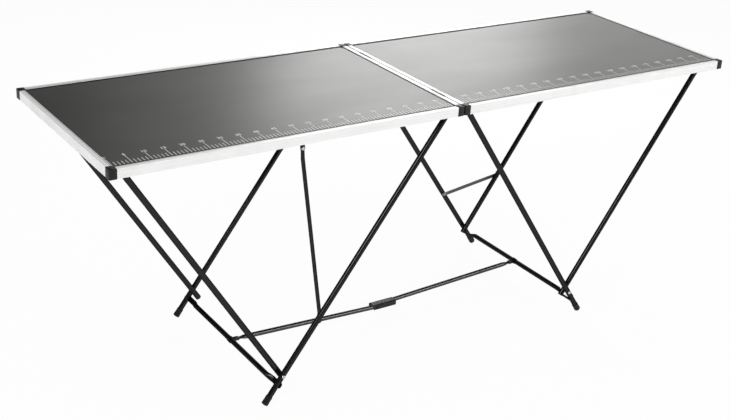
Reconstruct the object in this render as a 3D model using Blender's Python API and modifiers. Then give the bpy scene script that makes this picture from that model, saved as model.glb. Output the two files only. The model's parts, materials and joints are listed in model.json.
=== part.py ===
"""Folding pasting table: two hinged panels on coupled tube legs, metres, +Z up.

The table stands on Z = 0, its length runs along X and its front is at -Y.
Each half is modelled outward from the middle, on an empty.
The left half is the right one turned half round.
"""
import math

import bmesh
import bpy
from mathutils import Matrix, Vector

# Table top
TABLE_LENGTH = 2.025
TABLE_WIDTH = 0.600
TABLE_HEIGHT = 0.785
MIDDLE_GAP = 0.003
BOARD_THICKNESS = 0.003
FIELD_GAP = 0.002
FIELD_STEP = 0.0006
RAIL_HEIGHT = 0.025
RAIL_WALL = 0.0015
RAIL_LIP = 0.014
RAIL_LEDGE = 0.008
RAIL_FLANGE = 0.006
CAP_LENGTH = 0.019
CAP_DEPTH = 0.022
CAP_PROUD = 0.001
CAP_WALL = 0.004
CAP_ROUND = 0.0015

# Clearances
FIT = 0.0003
RUNNING_FIT = 0.0005

# Fold hinges in the middle gap, with their knuckles just above the rails
HINGE_INSET = 0.120
HINGE_LENGTH = 0.060
HINGE_LEAF = 0.001
HINGE_LEAF_HEIGHT = 0.019
KNUCKLE_RADIUS = 0.0017
HINGE_PIN_RADIUS = 0.0007
FOLD_CLEARANCE = 0.0002

# Long leg frames
LEG_DIAMETER = 0.016
TUBE_WALL = 0.0012
BEND_RADIUS = 0.030
LEG_PIVOT_X = 0.027
LEG_PIVOT_DROP = 0.0102
LEG_INSET = 0.029
LEG_FOOT_X = 0.576
LEG_END_HEIGHT = 0.0125
FOOT_RADIUS = 0.0098
FOOT_HEIGHT = 0.024

# Short prop frames
PROP_DIAMETER = 0.016
PROP_PIVOT_INSET = 0.0385
PROP_PIVOT_DROP = 0.0087
PROP_LAYER_GAP = 0.0035
PROP_RIVET_HEIGHT = 0.080
PROP_TAIL = 0.0217

# Saddles that carry the frames' top bars
SADDLE_WALL = 0.0015
SADDLE_WIDTH = 0.022
SADDLE_FLANGE = 0.007
LEG_SADDLE_INSET = 0.150
PROP_SADDLE_INSET = 0.120

# Crossbars and half bars
CROSSBAR_DIAMETER = 0.0125
CROSSBAR_HEIGHT = 0.058
FLAT_THICKNESS = 0.0025
CROSSBAR_FLAT_WIDTH = 0.017
CROSSBAR_FLAT_LENGTH = 0.042
JOGGLE_LENGTH = 0.022
BAR_DIAMETER = 0.0125
BAR_MIDDLE_HEIGHT = 0.034
BAR_LAP = 0.040
BAR_SIDE_GAP = 0.0007
BAR_FLAT_LENGTH = 0.024
BAR_FLAT_WIDTH = 0.0125
STRAP_WALL = 0.0015
STRAP_WIDTH = 0.0125
STRAP_TAB = 0.016
CLIP_LENGTH = 0.089
CLIP_WALL = 0.0014
CLIP_HEIGHT = 0.015
CLIP_RIVET_X = 0.034

# Strut under the left half
STRUT_DIAMETER = 0.0095
STRUT_FOOT_X = 0.241
STRUT_TOP_X = 0.358
STRUT_LINK = 0.150
STRUT_SIDE_GAP = 0.0026
LINK_WIDTH = 0.014
LINK_THICKNESS = 0.003
STRUT_FLAT_WIDTH = 0.012
STRUT_FLAT_LENGTH = 0.020
BRACKET_LENGTH = 0.040
BRACKET_FLANGE = 0.018
BRACKET_WALL = 0.002

# Flat stay between the right back long leg and its prop
STAY_LEG_HEIGHT = 0.220
STAY_PROP_HEIGHT = 0.250
STAY_WIDTH = 0.010
STAY_THICKNESS = 0.0025
STAY_END = 0.009

# Rivets
RIVET_RADIUS = 0.0025
RIVET_HEAD_RADIUS = 0.0055
RIVET_HEAD_HEIGHT = 0.0022
SMALL_RIVET_RADIUS = 0.0018
SMALL_HEAD_RADIUS = 0.0036
SMALL_HEAD_HEIGHT = 0.0014
SPACER_RADIUS = 0.0055

# Facets
TUBE_SIDES = 16
BEND_STEPS = 6
ROUND_SIDES = 16
BORE_SIDES = 12

# Worked-out places
HALF_LENGTH = TABLE_LENGTH / 2
HALF_WIDTH = TABLE_WIDTH / 2
INNER_END = MIDDLE_GAP / 2
HINGE_Y = HALF_WIDTH - HINGE_INSET
LEG_SADDLE_Y = HALF_WIDTH - LEG_SADDLE_INSET
PROP_SADDLE_Y = HALF_WIDTH - PROP_SADDLE_INSET
RAIL_BOTTOM = TABLE_HEIGHT - RAIL_HEIGHT
BOARD_TOP = TABLE_HEIGHT - RAIL_WALL - FIT
BOARD_BOTTOM = BOARD_TOP - BOARD_THICKNESS
LEDGE_TOP = BOARD_BOTTOM - FIT
FOLD_AXIS_Z = TABLE_HEIGHT + CAP_PROUD + FOLD_CLEARANCE

LEG_RADIUS = LEG_DIAMETER / 2
LEG_SPREAD = HALF_WIDTH - LEG_INSET
LEG_PIVOT_Z = BOARD_BOTTOM - LEG_PIVOT_DROP
LEG_ANGLE = math.atan2(LEG_PIVOT_Z, LEG_FOOT_X - LEG_PIVOT_X)
LEG_REACH = math.hypot(LEG_PIVOT_Z, LEG_FOOT_X - LEG_PIVOT_X)
LEG_LENGTH = LEG_REACH - LEG_END_HEIGHT / math.sin(LEG_ANGLE)

PROP_RADIUS = PROP_DIAMETER / 2
PROP_PIVOT_X = HALF_LENGTH - PROP_PIVOT_INSET
PROP_PIVOT_Z = BOARD_BOTTOM - PROP_PIVOT_DROP
PROP_SPREAD = LEG_SPREAD - LEG_RADIUS - PROP_LAYER_GAP - PROP_RADIUS
LAYER_MIDDLE = LEG_SPREAD - LEG_RADIUS - PROP_LAYER_GAP / 2


def along_leg(height):
    """Gives the distance from the leg pivot to the leg's point at a height."""
    return (LEG_PIVOT_Z - height) / math.sin(LEG_ANGLE)


def leg_x(height):
    """Gives how far out the long leg is at a height."""
    return LEG_PIVOT_X + along_leg(height) * math.cos(LEG_ANGLE)


PROP_DX = PROP_PIVOT_X - leg_x(PROP_RIVET_HEIGHT)
PROP_DZ = PROP_PIVOT_Z - PROP_RIVET_HEIGHT
PROP_ANGLE = math.atan2(PROP_DZ, PROP_DX)
PROP_RIVET_REACH = math.hypot(PROP_DX, PROP_DZ)
PROP_LENGTH = PROP_RIVET_REACH + PROP_TAIL

CROSSBAR_RADIUS = CROSSBAR_DIAMETER / 2
CROSSBAR_REACH = along_leg(CROSSBAR_HEIGHT)
CROSSBAR_X = leg_x(CROSSBAR_HEIGHT)
CROSSBAR_DROP = LEG_RADIUS + FIT + FLAT_THICKNESS / 2
BAR_RADIUS = BAR_DIAMETER / 2
BAR_Y = BAR_RADIUS + BAR_SIDE_GAP / 2
BAR_ANGLE = math.atan2(CROSSBAR_HEIGHT - BAR_MIDDLE_HEIGHT, CROSSBAR_X)
BAR_REACH = math.hypot(CROSSBAR_HEIGHT - BAR_MIDDLE_HEIGHT, CROSSBAR_X)
STRAP_INNER = CROSSBAR_RADIUS + RUNNING_FIT
STRAP_OUTER = STRAP_INNER + STRAP_WALL
BAR_START = STRAP_INNER + RUNNING_FIT

STRUT_RADIUS = STRUT_DIAMETER / 2
STRUT_TOP_Z = LEG_PIVOT_Z
STRUT_FOOT_Z = BAR_MIDDLE_HEIGHT + math.tan(BAR_ANGLE) * STRUT_FOOT_X
STRUT_DX = STRUT_TOP_X - STRUT_FOOT_X
STRUT_DZ = STRUT_TOP_Z - STRUT_FOOT_Z
STRUT_ANGLE = math.atan2(STRUT_DZ, STRUT_DX)
STRUT_ROD = math.hypot(STRUT_DX, STRUT_DZ) - STRUT_LINK
STRUT_FOOT_Y = BAR_Y + BAR_RADIUS + RUNNING_FIT + FLAT_THICKNESS / 2
CLIP_INNER_Y = BAR_Y + BAR_RADIUS + FIT
CLIP_OUTER_Y = CLIP_INNER_Y + CLIP_WALL
STRUT_Y = CLIP_OUTER_Y + STRUT_SIDE_GAP + STRUT_RADIUS
STRUT_HEAD_Y = STRUT_Y + STRUT_RADIUS - FLAT_THICKNESS / 2
LINK_Y = STRUT_HEAD_Y + FLAT_THICKNESS / 2 + FIT + LINK_THICKNESS / 2
BRACKET_Y = LINK_Y + LINK_THICKNESS / 2 + FIT + BRACKET_WALL / 2

STAY_REACH = along_leg(STAY_LEG_HEIGHT)
STAY_DX = (PROP_PIVOT_X - (PROP_PIVOT_Z - STAY_PROP_HEIGHT) / math.tan(PROP_ANGLE)) - leg_x(STAY_LEG_HEIGHT)
STAY_DZ = STAY_PROP_HEIGHT - STAY_LEG_HEIGHT
STAY_ANGLE = math.atan2(STAY_DZ, STAY_DX)
STAY_SPAN = math.hypot(STAY_DX, STAY_DZ)

# Colours (linear), roughness and metallic value of each finish
FINISHES = {
    "board": ((0.045, 0.045, 0.043, 1.0), 0.32, 0.0),
    "rail": ((0.82, 0.82, 0.81, 1.0), 0.38, 1.0),
    "cap": ((0.012, 0.012, 0.012, 1.0), 0.45, 0.0),
    "tube": ((0.010, 0.010, 0.011, 1.0), 0.22, 0.0),
    "foot": ((0.010, 0.010, 0.010, 1.0), 0.60, 0.0),
    "steel": ((0.62, 0.62, 0.60, 1.0), 0.30, 1.0),
    "stay": ((0.14, 0.14, 0.13, 1.0), 0.42, 0.6),
}


class Half:
    """One half of the table: its name, its turn about Z and its empty."""

    def __init__(self, name, turn):
        self.name = name
        self.turn = turn
        self.empty = add_empty(name + "_half", None, (0, 0, 0), (0, 0, turn))

    def node(self, word):
        """Names a piece of this half."""
        return self.name + "_" + word

    def edge(self, y_sign):
        """Names the table's edge that lies on one side of this half."""
        return "back" if y_sign * math.cos(self.turn) > 0 else "front"


def clear_scene():
    """Removes what the file holds and makes the two collections."""
    for old in list(bpy.data.objects):
        bpy.data.objects.remove(old, do_unlink=True)
    for name in ("pasting_table", "cutters"):
        collection = bpy.data.collections.new(name)
        bpy.context.scene.collection.children.link(collection)
    bpy.data.collections["cutters"].hide_render = True


def add_empty(name, parent, location, rotation=(0, 0, 0)):
    """Adds an empty, the carrier of a body or a joint's axis."""
    empty = bpy.data.objects.new(name, None)
    empty.empty_display_size = 0.05
    bpy.data.collections["pasting_table"].objects.link(empty)
    empty.parent = parent
    empty.location = location
    empty.rotation_euler = rotation
    return empty


def add_part(name, mesh, parent, finish, location=(0, 0, 0)):
    """Adds one sub-part with a material of its own."""
    colour, roughness, metallic = FINISHES[finish]
    material = bpy.data.materials.new(name)
    material.use_nodes = True
    shader = material.node_tree.nodes["Principled BSDF"]
    shader.inputs["Base Color"].default_value = colour
    shader.inputs["Roughness"].default_value = roughness
    shader.inputs["Metallic"].default_value = metallic
    mesh.name = name
    mesh.materials.clear()
    mesh.materials.append(material)
    part = bpy.data.objects.new(name, mesh)
    bpy.data.collections["pasting_table"].objects.link(part)
    part.parent = parent
    part.location = location
    return part


def add_cutter(name, mesh, parent, location=(0, 0, 0)):
    """Adds a cutter, which stays hidden."""
    cutter = bpy.data.objects.new(name + "_cutter", mesh)
    bpy.data.collections["cutters"].objects.link(cutter)
    cutter.display_type = "WIRE"
    cutter.hide_render = True
    cutter.parent = parent
    cutter.location = location
    return cutter


def combine(part, other, operation="DIFFERENCE"):
    """Cuts a part with another object, or joins the two."""
    boolean = part.modifiers.new(operation.lower(), "BOOLEAN")
    boolean.operation = operation
    boolean.solver = "EXACT"
    boolean.object = other
    return part


def finished_mesh(mesh_data):
    """Turns an edited bmesh into a mesh with outward faces."""
    bmesh.ops.recalc_face_normals(mesh_data, faces=mesh_data.faces)
    mesh = bpy.data.meshes.new("shape")
    mesh_data.to_mesh(mesh)
    mesh_data.free()
    return mesh


def box_mesh(low, high):
    """Makes a box between two corners."""
    low, high = Vector(map(min, low, high)), Vector(map(max, low, high))
    size = high - low
    shape = bmesh.new()
    place = Matrix.Translation((low + high) / 2) @ Matrix.Diagonal((*size, 1.0))
    bmesh.ops.create_cube(shape, size=1.0, matrix=place)
    return finished_mesh(shape)


def cylinder_mesh(radius, start, end, sides=BORE_SIDES):
    """Makes a cylinder between two points."""
    start, end = Vector(start), Vector(end)
    aim = (end - start).to_track_quat("Z", "Y").to_matrix().to_4x4()
    shape = bmesh.new()
    bmesh.ops.create_cone(
        shape, cap_ends=True, segments=sides, radius1=radius, radius2=radius,
        depth=(end - start).length, matrix=Matrix.Translation((start + end) / 2) @ aim)
    return finished_mesh(shape)


def curve_mesh(curve):
    """Turns a curve into a welded mesh and removes the curve."""
    holder = bpy.data.objects.new("curve", curve)
    bpy.context.scene.collection.objects.link(holder)
    evaluated = holder.evaluated_get(bpy.context.evaluated_depsgraph_get())
    mesh = bpy.data.meshes.new_from_object(evaluated)
    bpy.data.objects.remove(holder, do_unlink=True)
    shape = bmesh.new()
    shape.from_mesh(mesh)
    bmesh.ops.remove_doubles(shape, verts=shape.verts, dist=1e-6)
    bpy.data.meshes.remove(mesh)
    return finished_mesh(shape)


def tube_mesh(points, diameter):
    """Makes an open skin along a path, for a tube whose wall Solidify adds."""
    curve = bpy.data.curves.new("tube", "CURVE")
    curve.dimensions = "3D"
    curve.bevel_depth = diameter / 2
    curve.bevel_resolution = (TUBE_SIDES - 4) // 2
    curve.render_resolution_u = 0
    curve.use_fill_caps = False
    spline = curve.splines.new("POLY")
    spline.points.add(len(points) - 1)
    for point, place in zip(spline.points, points):
        point.co = (*place, 1.0)
    return curve_mesh(curve)


def outline_mesh(outlines, thickness, plane):
    """Fills flat outlines and gives them a thickness.

    The first outline is the edge and any others are holes.
    Plane "XZ" extrudes along Y and "YZ" along X.
    """
    curve = bpy.data.curves.new("outline", "CURVE")
    curve.dimensions = "2D"
    curve.fill_mode = "BOTH"
    curve.extrude = thickness / 2
    curve.render_resolution_u = 0
    for outline in outlines:
        spline = curve.splines.new("POLY")
        spline.points.add(len(outline) - 1)
        for point, (a, b) in zip(spline.points, outline):
            point.co = (a, b, 0.0, 1.0)
        spline.use_cyclic_u = True
    mesh = curve_mesh(curve)
    if plane == "XZ":
        mesh.transform(Matrix.Rotation(math.pi / 2, 4, "X"))
    else:
        mesh.transform(Matrix(((0, 0, 1, 0), (1, 0, 0, 0), (0, 1, 0, 0), (0, 0, 0, 1))))
    return mesh


def stepped_mesh(rim, field, bottom, ledge, top):
    """Makes a flat plate inside the rim outline, with a raised field on it."""
    shape = bmesh.new()
    levels = ((rim, bottom), (rim, ledge), (field, ledge), (field, top))
    rings = [[shape.verts.new((x, y, z)) for x, y in outline] for outline, z in levels]
    for low_ring, high_ring in (rings[:2], rings[2:]):
        for near in range(len(low_ring)):
            far = (near + 1) % len(low_ring)
            shape.faces.new((low_ring[near], low_ring[far], high_ring[far], high_ring[near]))
    shape.faces.new(rings[0])
    shape.faces.new(rings[3])
    ledge_edges = [edge for edge in shape.edges if edge.is_boundary]
    bmesh.ops.triangle_fill(shape, edges=ledge_edges, use_beauty=True)
    return finished_mesh(shape)


def arc(centre, radius, start, end, steps):
    """Lists the points of an arc, ends included."""
    angles = (start + (end - start) * k / steps for k in range(steps + 1))
    return [(centre[0] + radius * math.cos(a), centre[1] + radius * math.sin(a)) for a in angles]


def circle(centre, radius, sides=BORE_SIDES):
    """Lists the points of a circle once round."""
    return arc(centre, radius, 0.0, 2 * math.pi, sides)[:-1]


def loft_mesh(stations, sides=TUBE_SIDES):
    """Lofts a bar along X through flattened rounds.

    Each station is (x, y, z, half width along Z, half thickness along Y, squareness).
    A squareness of 2 is an ellipse, and a larger one has flatter sides.
    """
    shape = bmesh.new()
    rings = []
    for x, y, z, half_width, half_thickness, squareness in stations:
        ring = bmesh.ops.create_circle(shape, cap_ends=False, segments=sides, radius=1.0)["verts"]
        for vert in ring:
            angle = math.atan2(vert.co.y, vert.co.x)
            side, rise = math.sin(angle), math.cos(angle)
            side = math.copysign(abs(side) ** (2 / squareness), side)
            rise = math.copysign(abs(rise) ** (2 / squareness), rise)
            vert.co = (x, y + half_thickness * side, z + half_width * rise)
        rings.append(list({edge for vert in ring for edge in vert.link_edges}))
    for near, far in zip(rings, rings[1:]):
        bmesh.ops.bridge_loops(shape, edges=near + far)
    bmesh.ops.holes_fill(shape, edges=shape.edges, sides=0)
    return finished_mesh(shape)


def turned_mesh(profile, sides=ROUND_SIDES):
    """Turns a profile of (radius, height) points about Z into a solid."""
    shape = bmesh.new()
    verts = [shape.verts.new((radius, 0.0, height)) for radius, height in profile]
    edges = [shape.edges.new(pair) for pair in zip(verts, verts[1:])]
    bmesh.ops.spin(
        shape, geom=verts + edges, cent=(0, 0, 0), axis=(0, 0, 1), angle=2 * math.pi, steps=sides,
        use_merge=True)
    bmesh.ops.remove_doubles(shape, verts=shape.verts, dist=1e-6)
    return finished_mesh(shape)


def dome(radius, height, base, steps=3):
    """Lists a rivet head's profile from its top to its rim."""
    angles = [math.pi / 2 * (1 - k / steps) for k in range(steps + 1)]
    return [(radius * math.cos(a), base + height * math.sin(a)) for a in angles]


def rivet_mesh(shank, radius=RIVET_RADIUS, head=RIVET_HEAD_RADIUS, rise=RIVET_HEAD_HEIGHT, tail_head=False):
    """Makes a domed rivet: its head sits on Z = 0 and its shank hangs below."""
    profile = dome(head, rise, 0.0)[1:] + [(radius, 0.0), (radius, -shank)]
    if tail_head:
        profile += [(r, -shank - z) for r, z in reversed(dome(head, rise, 0.0)[1:])]
        profile.append((0.0, -shank - rise))
    else:
        profile.append((0.0, -shank))
    return turned_mesh([(0.0, rise)] + profile)


def placed_mesh(mesh, place):
    """Copies a mesh and moves the copy to its place."""
    placed = mesh.copy()
    placed.transform(place)
    return placed


def facing(point, direction):
    """Places a rivet at a point, with its head toward a direction."""
    return Matrix.Translation(point) @ Vector(direction).to_track_quat("Z", "Y").to_matrix().to_4x4()


def rail_outline(outer_face, inward, flange):
    """Lists a rail's section: web, lip over the board, ledge under it and bottom flange."""
    section = [
        (0.0, RAIL_BOTTOM), (0.0, TABLE_HEIGHT), (RAIL_LIP, TABLE_HEIGHT),
        (RAIL_LIP, TABLE_HEIGHT - RAIL_WALL), (RAIL_WALL, TABLE_HEIGHT - RAIL_WALL),
        (RAIL_WALL, LEDGE_TOP), (RAIL_LEDGE, LEDGE_TOP), (RAIL_LEDGE, LEDGE_TOP - RAIL_WALL),
        (RAIL_WALL, LEDGE_TOP - RAIL_WALL), (RAIL_WALL, RAIL_BOTTOM + RAIL_WALL),
        (flange, RAIL_BOTTOM + RAIL_WALL), (flange, RAIL_BOTTOM),
    ]
    return [(outer_face + inward * depth, height) for depth, height in section]


def build_rails(half):
    """Frames the board: long rails along X, end and middle rail along Y."""
    long_length = HALF_LENGTH - INNER_END - 2 * (CAP_LENGTH + FIT)
    short_length = TABLE_WIDTH - 2 * (CAP_DEPTH + FIT)
    middle = (HALF_LENGTH + INNER_END) / 2
    for side in (-1, 1):
        mesh = outline_mesh([rail_outline(side * HALF_WIDTH, -side, RAIL_FLANGE)], long_length, "YZ")
        add_part(half.node("rail_" + half.edge(side)), mesh, half.empty, "rail", (middle, 0, 0))
    end = outline_mesh([rail_outline(HALF_LENGTH, -1, RAIL_FLANGE)], short_length, "XZ")
    add_part(half.node("rail_end"), end, half.empty, "rail")
    inner = outline_mesh([rail_outline(INNER_END, 1, RAIL_FLANGE)], short_length, "XZ")
    add_part(half.node("rail_middle"), inner, half.empty, "rail")


def field_outline():
    """Lists the edge of the board's raised field, clear of the lips and stepped round the caps."""
    lip, length, depth = (size + FIELD_GAP for size in (RAIL_LIP, CAP_LENGTH, CAP_DEPTH))
    corner = [(HALF_LENGTH - lip, HALF_WIDTH - depth), (HALF_LENGTH - length, HALF_WIDTH - depth)]
    corner.append((HALF_LENGTH - length, HALF_WIDTH - lip))
    inner = [(HALF_LENGTH + INNER_END - x, y) for x, y in reversed(corner)]
    back = corner + inner
    return back + [(x, -y) for x, y in reversed(back)]


def build_board(half):
    """Makes the board that slides into the rails, and the slot that it needs in the caps.

    Beside the lips the board is a step lower, which shows as a dark line round its raised field.
    """
    inset = RAIL_WALL + FIT
    low = Vector((INNER_END + inset, -HALF_WIDTH + inset, BOARD_BOTTOM))
    high = Vector((HALF_LENGTH - inset, HALF_WIDTH - inset, BOARD_TOP))
    rim = [(low.x, low.y), (high.x, low.y), (high.x, high.y), (low.x, high.y)]
    mesh = stepped_mesh(rim, field_outline(), BOARD_BOTTOM, BOARD_TOP - FIELD_STEP, BOARD_TOP)
    add_part(half.node("board"), mesh, half.empty, "board")
    play = Vector((FIT, FIT, FIT))
    return add_cutter(half.node("board_slot"), box_mesh(low - play, high + play), half.empty)


def build_caps(half, slot):
    """Makes the four corner caps: rounded blocks with a slot for the board, open below it."""
    corners = (("middle", INNER_END, 1, 0.0), ("end", HALF_LENGTH, -1, CAP_PROUD))
    for word, face, inward, proud in corners:
        for side in (-1, 1):
            name = half.node("cap_%s_%s" % (word, half.edge(side)))
            cap = add_part(name, box_mesh(
                (face - inward * proud, side * (HALF_WIDTH + CAP_PROUD), RAIL_BOTTOM - CAP_PROUD),
                (face + inward * CAP_LENGTH, side * (HALF_WIDTH - CAP_DEPTH), TABLE_HEIGHT + CAP_PROUD),
            ), half.empty, "cap")
            bevel = cap.modifiers.new("round", "BEVEL")
            bevel.width = CAP_ROUND
            bevel.segments = 2
            pocket = add_cutter(name + "_pocket", box_mesh(
                (face + inward * CAP_WALL, side * (HALF_WIDTH - CAP_WALL), RAIL_BOTTOM - CAP_DEPTH),
                (face + inward * 2 * CAP_LENGTH, side * (HALF_WIDTH - 2 * CAP_DEPTH),
                 BOARD_BOTTOM - CAP_WALL),
            ), half.empty)
            combine(cap, slot)
            combine(cap, pocket)


def saddle_outline(bar_radius, axis_drop):
    """Lists a pipe saddle's section round a top bar whose axis is at the origin."""
    inner = bar_radius + FIT
    outer = inner + SADDLE_WALL
    top = axis_drop - FIT
    seat = top - SADDLE_WALL
    rim = outer + SADDLE_FLANGE
    section = [(-rim, top), (-rim, seat), (-outer, seat)]
    section += arc((0, 0), outer, math.pi, 2 * math.pi, 12)
    section += [(outer, seat), (rim, seat), (rim, top), (inner, top)]
    section += arc((0, 0), inner, 2 * math.pi, math.pi, 12)
    section.append((-inner, top))
    return section


def build_saddles(half):
    """Holds the top bars of the leg frame and of the prop frame under the board."""
    rows = (
        ("leg_saddle_", LEG_RADIUS, LEG_PIVOT_DROP, LEG_PIVOT_X, LEG_PIVOT_Z, LEG_SADDLE_Y),
        ("prop_saddle_", PROP_RADIUS, PROP_PIVOT_DROP, PROP_PIVOT_X, PROP_PIVOT_Z, PROP_SADDLE_Y),
    )
    for word, radius, drop, x, z, y in rows:
        for side in (-1, 1):
            mesh = outline_mesh([saddle_outline(radius, drop)], SADDLE_WIDTH, "XZ")
            add_part(half.node(word + half.edge(side)), mesh, half.empty, "steel", (x, side * y, z))


def build_hinge_leaves(half, outer_knuckles):
    """Makes this half's leaves of the two slim butt hinges."""
    third = HINGE_LENGTH / 3
    play = RUNNING_FIT / 2
    if outer_knuckles:
        spans = ((-HINGE_LENGTH / 2, -third / 2 - play), (third / 2 + play, HINGE_LENGTH / 2))
    else:
        spans = ((-third / 2 + play, third / 2 - play),)
    outer = INNER_END - FIT
    inner = outer - HINGE_LEAF
    top = FOLD_AXIS_Z - KNUCKLE_RADIUS - FIT
    for side in (-1, 1):
        y = side * HINGE_Y
        name = half.node("hinge_leaf_" + half.edge(side))
        leaf = add_part(name, box_mesh(
            (inner, y - HINGE_LENGTH / 2, top - HINGE_LEAF_HEIGHT),
            (outer, y + HINGE_LENGTH / 2, top)), half.empty, "steel")
        for start, end in spans:
            neck = box_mesh((inner, y + start, top - HINGE_LEAF), (outer, y + end, FOLD_AXIS_Z))
            roll = cylinder_mesh(KNUCKLE_RADIUS, (0, y + start, FOLD_AXIS_Z), (0, y + end, FOLD_AXIS_Z))
            combine(leaf, add_cutter(name + "_neck", neck, half.empty), "UNION")
            combine(leaf, add_cutter(name + "_knuckle", roll, half.empty), "UNION")
        bore = cylinder_mesh(
            HINGE_PIN_RADIUS + FIT, (0, y - HINGE_LENGTH, FOLD_AXIS_Z), (0, y + HINGE_LENGTH, FOLD_AXIS_Z))
        combine(leaf, add_cutter(name + "_bore", bore, half.empty))


def build_hinge_pins(half):
    """Makes the two hinge pins, headed at both ends."""
    shank = HINGE_LENGTH + 2 * FIT
    pin = rivet_mesh(shank, HINGE_PIN_RADIUS, KNUCKLE_RADIUS - FIT, HINGE_PIN_RADIUS, True)
    for side in (-1, 1):
        place = facing((0, side * HINGE_Y + shank / 2, FOLD_AXIS_Z), (0, 1, 0))
        add_part("hinge_pin_" + half.edge(side), placed_mesh(pin, place), half.empty, "steel")


def frame_path(length, spread):
    """Lists the path of a bent frame: two legs along X and a top bar along Y at X = 0."""
    reach = spread - BEND_RADIUS
    path = [(length, -spread)]
    path += arc((BEND_RADIUS, -reach), BEND_RADIUS, -math.pi / 2, -math.pi, BEND_STEPS)
    path += arc((BEND_RADIUS, reach), BEND_RADIUS, math.pi, math.pi / 2, BEND_STEPS)
    path.append((length, spread))
    return [(x, y, 0.0) for x, y in path]


def add_frame(name, length, spread, diameter, pivot):
    """Adds a bent tube frame with open ends."""
    frame = add_part(name, tube_mesh(frame_path(length, spread), diameter), pivot, "tube")
    wall = frame.modifiers.new("wall", "SOLIDIFY")
    wall.thickness = TUBE_WALL
    wall.offset = -1
    wall.use_even_offset = True
    return frame


def add_leg_pivot(half):
    """Adds the empty on the leg frame's hinge axis: its X runs down the leg."""
    return add_empty(
        half.node("leg_pivot"), half.empty, (LEG_PIVOT_X, 0, LEG_PIVOT_Z), (0, LEG_ANGLE, 0))


def add_rivet(name, mesh, pivot, point, direction):
    """Adds a rivet at a point, with its head toward a direction."""
    return add_part(name, placed_mesh(mesh, facing(point, direction)), pivot, "steel")


def fuse_rivet(part, word, mesh, pivot, point, direction):
    """Fuses a rivet with the piece that carries it."""
    placed = placed_mesh(mesh, facing(point, direction))
    combine(part, add_cutter(part.name + "_" + word, placed, pivot), "UNION")


def bore_leg(frame, pivot, word, start, end):
    """Cuts a rivet hole in a leg frame."""
    hole = cylinder_mesh(RIVET_RADIUS + FIT, start, end)
    combine(frame, add_cutter(frame.name + "_" + word, hole, pivot))


def rivet_legs(half, frame, pivot):
    """Cuts the leg frame's holes and adds the rivets on which the props turn."""
    reach = along_leg(PROP_RIVET_HEIGHT)
    face = LEG_SPREAD + LEG_RADIUS + FIT
    for side in (-1, 1):
        edge = half.edge(side)
        y = side * LEG_SPREAD
        near, far = y - LEG_DIAMETER, y + LEG_DIAMETER
        bore_leg(frame, pivot, "prop_hole_" + edge, (reach, near, 0), (reach, far, 0))
        add_rivet(
            half.node("leg_rivet_" + edge), rivet_mesh(LEG_DIAMETER + FIT), pivot,
            (reach, side * face, 0), (0, side, 0))


def build_feet(half, pivot, floor):
    """Caps the long legs, cut level with the floor."""
    bore = LEG_RADIUS + FIT
    top = LEG_LENGTH - FOOT_HEIGHT
    mesh = turned_mesh([
        (0.0, LEG_LENGTH + FIT), (bore, LEG_LENGTH + FIT), (bore, top),
        ((bore + FOOT_RADIUS) / 2 + FIT, top), (FOOT_RADIUS, top + FOOT_RADIUS / 2),
        (FOOT_RADIUS, LEG_REACH + FOOT_RADIUS), (0.0, LEG_REACH + FOOT_RADIUS)])
    mesh.transform(Matrix.Rotation(math.pi / 2, 4, "Y"))
    for side in (-1, 1):
        foot = add_part(
            half.node("foot_" + half.edge(side)), mesh.copy(), pivot, "foot", (0, side * LEG_SPREAD, 0))
        combine(foot, floor)


def build_crossbar(half, pivot):
    """Joins the long legs with a bar whose ends are flattened and joggled under the legs."""
    tip = LEG_SPREAD + LEG_RADIUS
    flat_end = tip - CROSSBAR_FLAT_LENGTH
    thin, wide = FLAT_THICKNESS / 2, CROSSBAR_FLAT_WIDTH / 2
    half_bar = [
        (tip, -CROSSBAR_DROP, 0, wide * 0.6, thin, 5),
        (tip - wide / 2, -CROSSBAR_DROP, 0, wide, thin, 5),
        (flat_end, -CROSSBAR_DROP, 0, wide, thin, 5),
        (flat_end - JOGGLE_LENGTH / 2, -CROSSBAR_DROP / 2, 0,
         (wide + CROSSBAR_RADIUS) / 2, CROSSBAR_RADIUS / 2, 3),
        (flat_end - JOGGLE_LENGTH, 0, 0, CROSSBAR_RADIUS, CROSSBAR_RADIUS, 2),
    ]
    mirrored = [(-x, y, z, width, depth, square) for x, y, z, width, depth, square in reversed(half_bar)]
    mesh = loft_mesh(half_bar + mirrored)
    mesh.transform(Matrix(((0, 0, 1, 0), (1, 0, 0, 0), (0, 1, 0, 0), (0, 0, 0, 1))))
    add_part(half.node("crossbar"), mesh, pivot, "tube", (CROSSBAR_REACH, 0, 0))


def build_legs(half, floor):
    """Builds the long leg frame with its crossbar, feet and rivets."""
    pivot = add_leg_pivot(half)
    frame = add_frame(half.node("leg_frame"), LEG_LENGTH, LEG_SPREAD, LEG_DIAMETER, pivot)
    rivet_legs(half, frame, pivot)
    build_crossbar(half, pivot)
    build_feet(half, pivot, floor)
    return pivot, frame


def build_props(half):
    """Builds the short prop frame, with the spacers that keep it off the long legs."""
    pivot = add_empty(
        half.node("prop_pivot"), half.empty, (PROP_PIVOT_X, 0, PROP_PIVOT_Z), (0, math.pi - PROP_ANGLE, 0))
    frame = add_frame(half.node("prop_frame"), PROP_LENGTH, PROP_SPREAD, PROP_DIAMETER, pivot)
    for side in (-1, 1):
        start = (PROP_RIVET_REACH, side * (PROP_SPREAD + PROP_RADIUS - TUBE_WALL / 2), 0)
        end = (PROP_RIVET_REACH, side * (LEG_SPREAD - LEG_RADIUS - FIT), 0)
        spacer = cylinder_mesh(SPACER_RADIUS, start, end, ROUND_SIDES)
        combine(frame, add_cutter(frame.name + "_spacer_" + half.edge(side), spacer, pivot), "UNION")


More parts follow.
